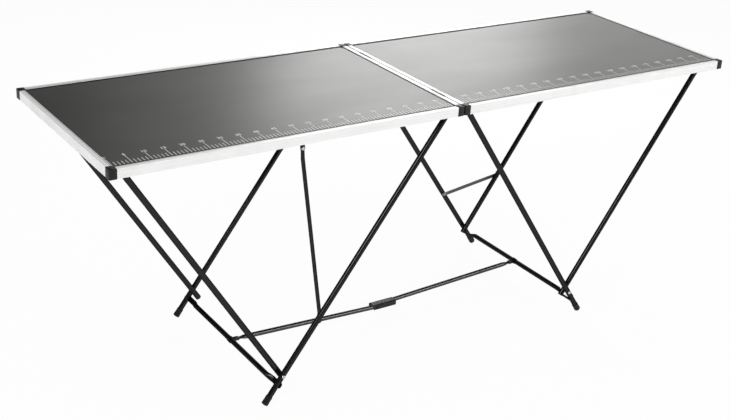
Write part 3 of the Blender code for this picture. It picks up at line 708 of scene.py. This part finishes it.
class Tree(Graph):
    """A Geometry Nodes tree with named inputs."""

    def __init__(self, name: str, inputs: dict[str, str]) -> None:
        """Starts a tree.

        Args:
            name: the tree's name.
            inputs: kinds of socket by input name, after the geometry.
        """
        super().__init__(bpy.data.node_groups.new(name, "GeometryNodeTree"))
        face = self.tree.interface
        face.new_socket("Geometry", in_out="INPUT", socket_type="NodeSocketGeometry")
        self.keys = {
            key: face.new_socket(key, in_out="INPUT", socket_type="NodeSocket" + kind).identifier
            for key, kind in inputs.items()}
        face.new_socket("Geometry", in_out="OUTPUT", socket_type="NodeSocketGeometry")
        self.entry = self.node("NodeGroupInput", {}, {})

    def end(self, shown: Node) -> None:
        """Realizes the instances, gives them the Finish input's material and ends the tree.

        Args:
            shown: the node that makes the instances.
        """
        real = self.node("GeometryNodeRealizeInstances", {}, {0: shown})
        dressed = self.node(
            "GeometryNodeSetMaterial", {}, {"Geometry": real, "Material": self.entry.outputs["Finish"]})
        self.node("NodeGroupOutput", {}, {0: dressed})

    def attach(self, piece: Object, values: dict[str, Any]) -> None:
        """Adds the tree to an object as a modifier.

        Args:
            piece: the object.
            values: the named inputs.
        """
        modifier = piece.modifiers.new(self.tree.name, "NODES")
        modifier.node_group = self.tree
        for key, value in values.items():
            modifier[self.keys[key]] = value

    def run(self, name: str, mesh: Mesh, values: dict[str, Any]) -> Object:
        """Runs the tree on a mesh and keeps the result as a plain piece.

        Args:
            name: the piece's name.
            mesh: the mesh that goes into the tree.
            values: the named inputs.

        Returns:
            The piece.
        """
        carrier = add_object(name + "_carrier", mesh)
        self.attach(carrier, values)
        return settle(name, carrier)


class TickTree(Tree):
    """Prints one row of ruler ticks: short ones, with a long one at every fifth."""

    def __init__(self) -> None:
        """Builds the tree."""
        super().__init__("ruler_ticks", {
            "First Tick": "Int", "Tick Count": "Int", "Start": "Vector", "Pitch": "Float",
            "Short Length": "Float", "Long Length": "Float", "Line Width": "Float", "Ink Height": "Float",
            "Finish": "Material"})
        given = self.entry.outputs
        step = self.node("ShaderNodeCombineXYZ", {}, {"X": given["Pitch"]})
        row = self.node("GeometryNodeMeshLine", {}, {
            "Count": given["Tick Count"], "Start Location": given["Start"], "Offset": step})
        stroke = self.node("GeometryNodeMeshCube", {}, {"Size": UNIT})
        lifted = self.node("GeometryNodeTransform", {}, {"Geometry": stroke, "Translation": (0.0, 0.5, 0.5)})
        number = self.node("ShaderNodeMath", {"operation": "ADD"}, {
            0: self.node("GeometryNodeInputIndex", {}, {}), 1: given["First Tick"]})
        rest = self.node(
            "ShaderNodeMath", {"operation": "FLOORED_MODULO"}, {0: number, 1: float(LONG_EVERY)})
        fifth = self.node("FunctionNodeCompare", {"operation": "LESS_THAN"}, {0: rest, 1: 0.5})
        length = self.node("GeometryNodeSwitch", {"input_type": "FLOAT"}, {
            "Switch": fifth, "False": given["Short Length"], "True": given["Long Length"]})
        size = self.node("ShaderNodeCombineXYZ", {}, {
            "X": given["Line Width"], "Y": length, "Z": given["Ink Height"]})
        self.end(self.node(
            "GeometryNodeInstanceOnPoints", {}, {"Points": row, "Instance": lifted, "Scale": size}))


class HeadTree(Tree):
    """Sets a fastener head or a foot cap on every point, turned to the point's aim."""

    def __init__(self) -> None:
        """Builds the tree."""
        super().__init__("fastener_heads", {
            "Head": "Object", "Head Radius": "Float", "Head Height": "Float", "Finish": "Material"})
        given = self.entry.outputs
        head = self.node("GeometryNodeObjectInfo", {}, {"Object": given["Head"]})
        aim = self.node("GeometryNodeInputNamedAttribute", {"data_type": "FLOAT_VECTOR"}, {"Name": "aim"})
        turn = self.node("FunctionNodeAlignRotationToVector", {"axis": "Z"}, {"Vector": aim})
        size = self.node("ShaderNodeCombineXYZ", {}, {
            "X": given["Head Radius"], "Y": given["Head Radius"], "Z": given["Head Height"]})
        self.end(self.node("GeometryNodeInstanceOnPoints", {}, {
            "Points": given["Geometry"], "Instance": head.outputs["Geometry"], "Rotation": turn,
            "Scale": size}))


@dataclass(frozen=True)
class Coat:
    """How far a piece's skin stands off its CAD solid along each axis, and how far out it does so."""

    depth: Triple = (0.0, 0.0, 0.0)
    reach: Triple = (2.0, 2.0, 2.0)


class SmoothTree(Tree):
    """Rounds the shading of faceted CAD pieces, keeps their real edges sharp, and adds a coat."""

    def __init__(self) -> None:
        """Builds the tree."""
        super().__init__("smooth_facets", {
            "Sharpest": "Float", "Coat": "Vector", "Low": "Vector", "High": "Vector"})
        given = self.entry.outputs
        merged = self.node(
            "GeometryNodeMergeByDistance", {}, {"Geometry": given["Geometry"], "Distance": WELD})
        place = self.node("GeometryNodeInputPosition", {}, {})
        bounds = []
        for operation, bound in (("GREATER_THAN", "Low"), ("LESS_THAN", "High")):
            settings = {"data_type": "VECTOR", "mode": "ELEMENT", "operation": operation}
            values = dict(zip(COMPARE_VECTORS, (place, given[bound])))
            bounds.append(self.node("FunctionNodeCompare", settings, values))
        inside = self.node("FunctionNodeBooleanMath", {"operation": "AND"}, {0: bounds[0], 1: bounds[1]})
        normal = self.node("GeometryNodeInputNormal", {}, {})
        offset = self.node("ShaderNodeVectorMath", {"operation": "MULTIPLY"}, {0: normal, 1: given["Coat"]})
        coated = self.node("GeometryNodeSetPosition", {}, {
            "Geometry": merged, "Selection": inside, "Offset": offset})
        round_faces = self.node("GeometryNodeSetShadeSmooth", {"domain": "FACE"}, {
            "Geometry": coated, "Shade Smooth": True})
        angle = self.node("GeometryNodeInputMeshEdgeAngle", {}, {})
        soft = self.node("FunctionNodeCompare", {"operation": "LESS_THAN"}, {
            0: angle.outputs["Unsigned Angle"], 1: given["Sharpest"]})
        edges = self.node("GeometryNodeSetShadeSmooth", {"domain": "EDGE"}, {
            "Geometry": round_faces, "Shade Smooth": soft})
        self.node("NodeGroupOutput", {}, {0: edges})

    def round_off(self, node: Object, coat: Coat) -> None:
        """Adds the tree to a CAD piece, whose own mesh stays as it is.

        Args:
            node: the CAD piece.
            coat: how far the piece's skin stands off, and where.
        """
        low = [-reach for reach in coat.reach]
        self.attach(node, {"Sharpest": SHARP_CAD_EDGE, "Coat": coat.depth, "Low": low, "High": coat.reach})


class Painter:
    """Puts finishes on the CAD pieces and knows which ones are still bare."""

    def __init__(self) -> None:
        """Reads each piece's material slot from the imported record."""
        self.smooth = SmoothTree()
        self.slots = {entry["node"]: entry["material_slot"] for entry in frame["record"]["subparts"]}
        self.bare = set(frame["nodes"])

    def node(self, name: str, material: Material, coat: Coat = Coat()) -> None:
        """Gives one CAD piece its finish and a rounder shading.

        Args:
            name: the CAD piece's name.
            material: its finish.
            coat: how far its skin stands off.
        """
        piece = frame["nodes"][name]
        piece.data.materials.clear()
        piece.data.materials.append(material)
        self.smooth.round_off(piece, coat)
        self.bare.discard(name)
        log.info("%s: %s", name, material.name)


@dataclass
class Panels:
    """The two boards with their rails and corner caps."""

    board: BoardFinish = BoardFinish()
    cap: PlasticFinish = PlasticFinish("cap_plastic", (0.007, 0.007, 0.007), (0.024, 0.024, 0.023), 0.42, 0.3)
    long_rail: RailFinish = RailFinish()
    end_rail: RailFinish = RailFinish(Run.CROSS, 1.0015)
    # The middle rails carry painted shade along their edge beside the gap.
    middle_rail: RailFinish = RailFinish(Run.CROSS, 0.0125, gap_shade_reach=0.0022)

    def dress(self, paint: Painter) -> None:
        """Gives every panel piece its finish.

        Args:
            paint: the painter that knows the CAD pieces.
        """
        board, cap = self.board.material(), self.cap.material()
        rails = {
            "rail_front": self.long_rail, "rail_back": self.long_rail,
            "rail_end": self.end_rail, "rail_middle": self.middle_rail}
        made = {finish: finish.material() for finish in dict.fromkeys(rails.values())}
        for half in Half:
            paint.node(f"{half.value}_board", board)
            for word, finish in rails.items():
                paint.node(f"{half.value}_{word}", made[finish])
            for corner in ("middle_front", "middle_back", "end_front", "end_back"):
                paint.node(f"{half.value}_cap_{corner}", cap)


@dataclass
class UnderFrame:
    """The folding legs, props, crossbars, bars, strut and stay."""

    tube: TubeFinish = TubeFinish()
    bar: TubeFinish = TubeFinish("bar_gloss_coat", (0.074, 0.074, 0.075), (0.088, 0.088, 0.088))
    steel: SteelFinish = SteelFinish()
    stay: StayFinish = StayFinish()
    clip: PlasticFinish = PlasticFinish(
        "clip_plastic", (0.008, 0.008, 0.008), (0.022, 0.022, 0.021), 0.42, 0.3)
    foot: PlasticFinish = PlasticFinish(
        "foot_plastic", (0.006, 0.006, 0.006), (0.024, 0.023, 0.022), 0.48, 0.25, rings=True)
    leg_coat: Coat = Coat((0.0005, 0.0, 0.0005), (2.0, 2.0, 0.70))
    crossbar_coat: Coat = Coat((0.0012, 0.0, 0.0012), (2.0, 0.227, 2.0))
    strap_coat: Coat = Coat((0.0012, 0.0, 0.0012))
    bar_coat: Coat = Coat((0.0, 0.0003, 0.0012), (0.494, 2.0, 2.0))
    strut_coat: Coat = Coat((0.0015, 0.0, 0.0), (2.0, 2.0, 0.60))
    stay_coat: Coat = Coat((0.0013, 0.0, 0.0013))

    def dress(self, paint: Painter) -> dict[str, Material]:
        """Gives every under-frame piece its finish.

        Args:
            paint: the painter that knows the CAD pieces.

        Returns:
            The finishes that the small pieces share: by slot name, and the clip's.
        """
        tube, bar, clip = self.tube.material(), self.bar.material(), self.clip.material()
        steel, stay, foot = self.steel.material(), self.stay.material(), self.foot.material()
        shared = {"tube": tube, "steel": steel, "stay": stay, "foot": foot, "clip": clip}
        rows = [
            ("centre_clip", clip, Coat()), ("stay", stay, self.stay_coat),
            ("strut_lower", tube, self.strut_coat), ("strut_upper", tube, Coat()),
            ("strut_bracket", tube, Coat())]
        for side in (half.value for half in Half):
            rows += [
                (f"{side}_bar", bar, self.bar_coat), (f"{side}_crossbar", tube, self.crossbar_coat),
                (f"{side}_bar_strap", tube, self.strap_coat), (f"{side}_bar_rivet", tube, Coat()),
                (f"{side}_leg_frame", tube, self.leg_coat), (f"{side}_prop_frame", tube, self.leg_coat)]
        for name, finish, coat in rows:
            paint.node(name, finish, coat)
        for name in sorted(paint.bare):
            paint.node(name, shared[paint.slots[name]])
        return shared


@dataclass
class Ruler:
    """The centimetre ruler printed along the front edge of both boards."""

    zero_x: float = -0.9945
    base_y: float = -0.2762
    board_top: float = BOARD_TOP
    pitch: float = 0.010
    short_length: float = 0.020
    long_length: float = 0.044
    line_width: float = 0.0016
    ink_height: float = 0.0001
    figure_height: float = 0.011
    figure_gap: float = 0.003
    figure_bold: float = 0.00025
    capital_share: float = 0.7
    curve_steps: int = 3
    margin: float = 0.0175
    first_slack: float = 0.002
    finish: InkFinish = InkFinish()

    def ticks_of(self, half: Half) -> range:
        """The tick numbers that fit on one board, clear of the lips.

        Args:
            half: the board's half.

        Returns:
            The numbers, in centimetres.
        """
        spans = {Half.LEFT: (-TABLE_HALF, 0.0), Half.RIGHT: (0.0, TABLE_HALF)}
        low, high = spans[half]
        first = math.ceil((low + self.margin - self.first_slack - self.zero_x) / self.pitch)
        last = math.floor((high - self.margin - self.zero_x) / self.pitch)
        return range(max(first, 0), last + 1)

    def build(self, tree: TickTree, half: Half, ink: Material) -> list[Object]:
        """Prints one board's ticks and figures.

        Args:
            tree: the Geometry Nodes tree that makes ticks.
            half: the board's half.
            ink: the ink's material.

        Returns:
            The ticks and the figures.
        """
        numbers = self.ticks_of(half)
        ticks = tree.run(f"{half.value}_ruler_ticks", bpy.data.meshes.new("row"), {
            "First Tick": numbers.start, "Tick Count": len(numbers),
            "Start": (self.zero_x + numbers.start * self.pitch, self.base_y, self.board_top),
            "Pitch": self.pitch, "Short Length": self.short_length, "Long Length": self.long_length,
            "Line Width": self.line_width, "Ink Height": self.ink_height, "Finish": ink})
        marked = [number for number in numbers if number % LONG_EVERY == 0]
        return [ticks, self._figures(half, marked, ink)]

    def _figures(self, half: Half, numbers: list[int], ink: Material) -> Object:
        """Prints the figures above the long ticks as one mesh.

        Args:
            half: the board's half.
            numbers: the figures to print.
            ink: the ink's material.

        Returns:
            The figures.
        """
        merged = bmesh.new()
        for number in numbers:
            text = bpy.data.curves.new("figure", "FONT")
            text.body = str(number)
            text.align_x = "CENTER"
            text.size = self.figure_height / self.capital_share
            text.extrude = self.ink_height / 2
            text.offset = self.figure_bold
            text.resolution_u = self.curve_steps
            one = settle("figure", add_object("figure", text))
            one.data.transform(Matrix.Translation((
                self.zero_x + number * self.pitch, self.base_y + self.long_length + self.figure_gap,
                self.board_top + self.ink_height / 2)))
            merged.from_mesh(one.data)
            bpy.data.objects.remove(one)
        mesh = bpy.data.meshes.new("figures")
        merged.to_mesh(mesh)
        merged.free()
        mesh.materials.clear()
        mesh.materials.append(ink)
        return add_object(f"{half.value}_ruler_figures", mesh)

    def dress(self) -> None:
        """Prints both boards and sets each print on its panel."""
        ink, tree = self.finish.material(), TickTree()
        for half in Half:
            for piece in self.build(tree, half, ink):
                mount(piece, f"panel_{half.value}")


@dataclass(frozen=True)
class Spot:
    """Where one fastener head or cap sits, and the direction that its axis points in."""

    place: Triple
    aim: Triple


def point_cloud(spots: list[Spot]) -> Mesh:
    """Points with their aims, for the tree that sets heads.

    Args:
        spots: where the heads sit.

    Returns:
        A mesh of single points.
    """
    mesh = bpy.data.meshes.new("spots")
    mesh.from_pydata([spot.place for spot in spots], [], [])
    aims = mesh.attributes.new("aim", "FLOAT_VECTOR", "POINT")
    for row, spot in zip(aims.data, spots):
        row.vector = spot.aim
    return mesh


@dataclass
class Fasteners:
    """Rivet heads on the crossbars, strut, stay and clip, and screws in the saddles and the bracket."""

    rivet_radius: float = 0.0040
    rivet_height: float = 0.0016
    screw_radius: float = 0.0030
    screw_height: float = 0.0019
    leg_radius: float = 0.0080
    crossbar: Triple = (0.53465, LEG_Y, 0.058)
    flat_face: float = 0.0108
    sunk: float = 0.0004
    strut_spot: Spot = Spot((-0.241, -0.0158, 0.0448), (0.0, -1.0, 0.0))
    stay_spot: Spot = Spot((0.6308, 0.2439, 0.25), (0.0, -1.0, 0.0))
    clip_rivet: Triple = (-0.030, 0.0143, 0.0345)
    saddle_flange: float = 0.0015
    flange_middle: float = 0.0035
    bracket_plate: float = 0.002
    bracket_end: float = 0.010
    bracket_edge: float = 0.0085
    dome: Profile = ((1.0, 0.0), (0.98, 0.28), (0.86, 0.62), (0.62, 0.86), (0.32, 0.97), (0.0, 1.0))
    dome_sides: int = 16
    pan: Profile = (
        (1.0, 0.0), (1.0, 0.45), (0.93, 0.72), (0.78, 0.90), (0.62, 0.97), (0.46, 1.0), (0.30, 1.0),
        (0.16, 1.0), (0.0, 1.0))
    pan_sides: int = 32
    recess_half_width: float = 0.13
    recess_reach: float = 0.6
    recess_depth: float = 0.55

    def screw_head(self) -> Object:
        """A pan head of unit radius and height, with a cross recess pressed into its upper half.

        Returns:
            The head, not linked to the scene.
        """
        head = turned("screw_head", self.pan, self.pan_sides)
        for vert in head.data.vertices:
            slim = min(abs(vert.co.x), abs(vert.co.y)) < self.recess_half_width
            if slim and vert.co.xy.length < self.recess_reach and vert.co.z > 0.5:
                vert.co.z -= self.recess_depth
        return head

    def rivets(self) -> dict[str, list[Spot]]:
        """Where the rivet heads sit.

        Returns:
            The spots by body.
        """
        spots: dict[str, list[Spot]] = {}
        x, y, z = self.crossbar
        for half in Half:
            lean = Vector((-half.sign * math.sin(LEG_SLOPE), 0.0, -math.cos(LEG_SLOPE)))
            for side in (-1, 1):
                centre = Vector((half.sign * x, side * y, z))
                for reach in (self.flat_face, self.sunk - self.leg_radius):
                    aim = lean if reach > 0 else -lean
                    spots.setdefault(f"legs_{half.value}", []).append(
                        Spot(tuple(centre + lean * reach), tuple(aim)))
        spots["strut_rod"] = [self.strut_spot]
        spots["props_right"] = [self.stay_spot]
        x, y, z = self.clip_rivet
        clip_body = frame["nodes"]["centre_clip"]["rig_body"]
        spots[clip_body] = [Spot((x, side * y, z), (0.0, side, 0.0)) for side in (-1.0, 1.0)]
        return spots

    def screws(self) -> dict[str, list[Spot]]:
        """Where the screw heads sit, all of them aimed down.

        Returns:
            The spots by body.
        """
        down = (0.0, 0.0, -1.0)
        spots: dict[str, list[Spot]] = {}
        for half in Half:
            body = f"panel_{half.value}"
            for name in ("leg_saddle_front", "leg_saddle_back", "prop_saddle_front", "prop_saddle_back"):
                low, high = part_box(f"{half.value}_{name}")
                middle = (low[1] + high[1]) / 2
                for x in (low[0] + self.flange_middle, high[0] - self.flange_middle):
                    spots.setdefault(body, []).append(Spot((x, middle, high[2] - self.saddle_flange), down))
        low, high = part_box("strut_bracket")
        y, z = low[1] + self.bracket_edge, high[2] - self.bracket_plate
        for x in (low[0] + self.bracket_end, high[0] - self.bracket_end):
            spots["panel_left"].append(Spot((x, y, z), down))
        return spots

    def dress(self, steel: Material, tube: Material) -> None:
        """Makes the heads, one mesh for each body, and sets them on their bodies.

        Args:
            steel: the screws' material.
            tube: the rivets' material, coated over with the tubes.
        """
        tree = HeadTree()
        rivet = {
            "Head": turned("rivet_head", self.dome, self.dome_sides), "Head Radius": self.rivet_radius,
            "Head Height": self.rivet_height, "Finish": tube}
        screw = {
            "Head": self.screw_head(), "Head Radius": self.screw_radius, "Head Height": self.screw_height,
            "Finish": steel}
        kinds = (
            ("rivet_heads", self.rivets(), rivet, Slot.TUBE),
            ("screw_heads", self.screws(), screw, Slot.STEEL))
        for word, rows, values, slot in kinds:
            for body, spots in rows.items():
                piece = tree.run(f"{body}_{word}", point_cloud(spots), values)
                mount(piece, body)
            bpy.data.objects.remove(values["Head"])


@dataclass
class CentreClip:
    """The black channel over the lapped bars, with rounded shoulders and a rivet through it."""

    half_length: float = 0.0415
    half_width: float = 0.01455
    wall: float = 0.0014
    bottom: float = 0.0289
    top: float = 0.0439
    shoulder: float = 0.0064
    edge: float = 0.0004
    edge_angle: float = math.radians(50.0)
    edge_steps: int = 2
    rib_depth: float = 0.0006
    rib_reach: float = 0.05
    rib_places: tuple[float, float] = (0.12, 0.88)
    stations: int = 24
    arc_steps: int = 8

    def section(self, inset: float) -> list[tuple[float, float]]:
        """One side of the channel's section, from the left foot over the top to the right foot.

        Args:
            inset: how far the side lies inside the outer face.

        Returns:
            Places across and up.
        """
        wide, high, bend = self.half_width - inset, self.top - inset, self.shoulder - inset
        points = [(-wide, self.bottom)]
        for middle, start in ((-wide + bend, math.pi), (wide - bend, math.pi / 2)):
            for step in range(self.arc_steps + 1):
                angle = start - step * math.pi / 2 / self.arc_steps
                points.append((middle + bend * math.cos(angle), high - bend + bend * math.sin(angle)))
        return points + [(wide, self.bottom)]

    def rib(self, share: float) -> float:
        """How far the two pressed ribs stand in at a share of the length."""
        near = (max(0.0, 1.0 - abs(share - place) / self.rib_reach) for place in self.rib_places)
        return sum(self.rib_depth * part for part in near)

    def build(self) -> Object:
        """Makes the channel.

        Returns:
            The channel as a plain mesh piece.
        """
        shape = bmesh.new()
        rings = []
        for station in range(self.stations + 1):
            share = station / self.stations
            x = (2.0 * share - 1.0) * self.half_length
            outer, inner = self.section(self.rib(share)), self.section(self.wall)
            rings.append([shape.verts.new((x, y, z)) for y, z in outer + inner[::-1]])
        for near, far in zip(rings, rings[1:]):
            for start in range(len(near)):
                follow = (start + 1) % len(near)
                shape.faces.new((near[start], near[follow], far[follow], far[start]))
        for ring in (rings[0], rings[-1]):
            half = len(ring) // 2
            for start in range(half - 1):
                shape.faces.new((ring[start], ring[start + 1], ring[-2 - start], ring[-1 - start]))
        carrier = add_object("channel_carrier", shaded_mesh("centre_clip_channel", shape))
        bevel = carrier.modifiers.new("edges", "BEVEL")
        bevel.width, bevel.segments, bevel.angle_limit = self.edge, self.edge_steps, self.edge_angle
        return settle("centre_clip_channel", carrier)

    def dress(self, plastic: Material) -> None:
        """Sets the channel in place of the plain clip.

        Args:
            plastic: the channel's material.
        """
        piece = self.build()
        piece.data.materials.append(plastic)
        mount(piece, frame["nodes"]["centre_clip"]["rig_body"])
        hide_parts("centre_clip")


@dataclass
class FootCaps:
    """Black caps pushed over the long legs' lower ends: a round closed end, two grooves and a lip."""

    end_height: float = 0.0047
    foot_x: float = 0.576
    sides: int = 28
    profile: Profile = (
        (0.0, 0.0104), (0.0082, 0.0104), (0.0082, 0.0268), (0.0088, 0.0270), (0.0092, 0.0264),
        (0.0094, 0.0246), (0.0094, 0.0178), (0.0089, 0.0172), (0.0089, 0.0160), (0.0095, 0.0154),
        (0.0096, 0.0128), (0.0091, 0.0122), (0.0091, 0.0110), (0.0097, 0.0104), (0.0098, 0.0040),
        (0.0096, 0.0020), (0.0088, 0.0006), (0.0070, 0.0), (0.0, 0.0))

    def spots(self, half: Half) -> list[Spot]:
        """Where one half's two caps sit.

        Args:
            half: the half that the legs belong to.

        Returns:
            The closed ends' middles, aimed up the legs.
        """
        x = half.sign * (self.foot_x - self.end_height / math.tan(LEG_SLOPE))
        aim = (-half.sign * math.cos(LEG_SLOPE), 0.0, math.sin(LEG_SLOPE))
        return [Spot((x, side * LEG_Y, self.end_height), aim) for side in (-1, 1)]

    def dress(self, plastic: Material) -> None:
        """Makes the caps, one mesh for each leg frame, in place of the plain ones.

        Args:
            plastic: the caps' material.
        """
        tree = HeadTree()
        cap = turned("foot_cap", self.profile, self.sides)
        for half in Half:
            piece = tree.run(f"{half.value}_foot_caps", point_cloud(self.spots(half)), {
                "Head": cap, "Head Radius": 1.0, "Head Height": 1.0, "Finish": plastic})
            mount(piece, f"legs_{half.value}")
            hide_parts(f"{half.value}_foot_front", f"{half.value}_foot_back")
        bpy.data.objects.remove(cap)


@dataclass(frozen=True)
class Lamp:
    """One soft box."""

    name: str
    place: Triple
    target: Triple
    size: tuple[float, float]
    watts: float

    def build(self) -> None:
        """Hangs the soft box."""
        data = bpy.data.lights.new(self.name, "AREA")
        data.shape = "RECTANGLE"
        data.size, data.size_y = self.size
        data.energy = self.watts
        lamp = add_object(self.name, data)
        aim = Vector(self.target) - Vector(self.place)
        lamp.location = self.place
        lamp.rotation_euler = aim.to_track_quat("-Z", "Y").to_euler()
        lamp.visible_camera = False


@dataclass
class Studio:
    """The white floor, the soft light and the camera at the photograph's viewing angle."""

    eye: Triple = (-2.0114, -2.7030, 1.8945)
    right: Triple = (0.829802, -0.554560, 0.062384)
    down: Triple = (-0.184941, -0.378745, -0.906835)
    forward: Triple = (0.526522, 0.740956, -0.416844)
    focal_pixels: float = 1236.8
    image_width: int = 730
    sensor_width: float = 36.0
    far_clip: float = 100.0
    floor_reach: float = 30.0
    floor_white: float = 0.90
    floor_shade: float = 0.05
    sky_light: float = 0.44
    sky_gloss: float = 0.12
    horizon: float = 0.12
    lamps: tuple[Lamp, ...] = (
        Lamp("back_box", (1.80, 2.44, 1.85), (0.0, 0.0, 0.785), (1.4, 1.2), 34.0),
        Lamp("left_box", (0.72, 2.75, 1.85), (-0.5, 0.0, 0.785), (0.9, 1.2), 2.4),
        Lamp("far_box", (3.10, 1.95, 1.70), (0.90, -0.1, 0.785), (1.3, 1.2), 10.5),
        Lamp("key_box", (-3.2, -1.7, 2.7), (0.0, 0.0, 0.4), (1.6, 1.6), 62.0),
        Lamp("side_strip", (2.80, -4.05, 2.05), (0.1, 0.0, 0.3), (2.6, 1.05), 90.0))

    def camera(self) -> None:
        """Sets up the camera."""
        data = bpy.data.cameras.new("camera")
        data.sensor_width = self.sensor_width
        data.lens = self.focal_pixels / self.image_width * self.sensor_width
        data.clip_end = self.far_clip
        camera = add_object("camera", data)
        columns = (Vector(self.right), -Vector(self.down), -Vector(self.forward))
        turn = Matrix([[column[row] for column in columns] for row in range(3)])
        camera.matrix_world = Matrix.Translation(self.eye) @ turn.to_4x4()
        bpy.context.scene.camera = camera

    @staticmethod
    def rays(nodes: Nodes) -> tuple[Wave, Wave, Wave]:
        """Tells which kind of ray meets a surface.

        Args:
            nodes: the node builder.

        Returns:
            1 or 0 for camera, glossy and transmission rays.
        """
        path = nodes.node("ShaderNodeLightPath", {}, {})
        kinds = ("Camera", "Glossy", "Transmission")
        return tuple(Wave(nodes, path.outputs[f"Is {kind} Ray"]) for kind in kinds)

    def floor(self) -> None:
        """Lays the floor: white to the camera and in reflections, with a faint shadow."""
        nodes = Nodes("studio_floor")
        camera, glossy, through = self.rays(nodes)
        seen = camera.most(glossy).most(through)
        grey = self.floor_white
        matt = nodes.node("ShaderNodeBsdfDiffuse", {}, {"Color": (grey, grey, grey, 1.0)})
        white = nodes.node("ShaderNodeEmission", {}, {"Strength": 1.0})
        mixed = nodes.node("ShaderNodeMixShader", {}, {
            0: seen * (1.0 - self.floor_shade), 1: matt, 2: white})
        nodes.node("ShaderNodeOutputMaterial", {}, {"Surface": mixed})
        reach = self.floor_reach
        mesh = bpy.data.meshes.new("floor")
        outline = [(-reach, -reach, 0.0), (reach, -reach, 0.0), (reach, reach, 0.0), (-reach, reach, 0.0)]
        mesh.from_pydata(outline, [], [(0, 1, 2, 3)])
        mesh.materials.append(nodes.owner)
        floor = add_object("floor", mesh)

    def sky(self) -> None:
        """Surrounds the scene: white to the camera, and in reflections white low down and dimmer above."""
        nodes = Nodes("studio", world=True)
        bpy.context.scene.world = nodes.owner
        direction = nodes.node("ShaderNodeTexCoord", {}, {}).outputs["Generated"]
        rise = Wave(nodes, nodes.node("ShaderNodeSeparateXYZ", {}, {"Vector": direction}).outputs[2])
        camera, glossy, through = self.rays(nodes)
        seen = camera.most(through)
        gloss = 1.0 - rise.ramp(0.0, self.horizon) * (1.0 - self.sky_gloss)
        strength = seen.most(glossy * gloss).most((1.0 - seen.most(glossy)) * self.sky_light)
        ground = nodes.node("ShaderNodeBackground", {}, {"Color": (1.0, 1.0, 1.0, 1.0), "Strength": strength})
        nodes.node("ShaderNodeOutputWorld", {}, {"Surface": ground})

    def build(self) -> None:
        """Sets up camera, floor, surroundings and lamps."""
        self.camera()
        self.floor()
        self.sky()
        for lamp in self.lamps:
            lamp.build()
        bpy.context.scene.view_settings.view_transform = "Standard"


def main() -> None:
    """Dresses the CAD pieces, adds the small ones, sets the studio up and notes the sizes."""
    logging.basicConfig(level=logging.INFO, format="%(name)s %(message)s")
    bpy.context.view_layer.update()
    Studio().build()
    paint = Painter()
    Panels().dress(paint)
    finishes = UnderFrame().dress(paint)
    Ruler().dress()
    Fasteners().dress(finishes["steel"], finishes["tube"])
    FootCaps().dress(finishes["foot"])
    CentreClip().dress(finishes["clip"])


if __name__ == "__main__":
    main()
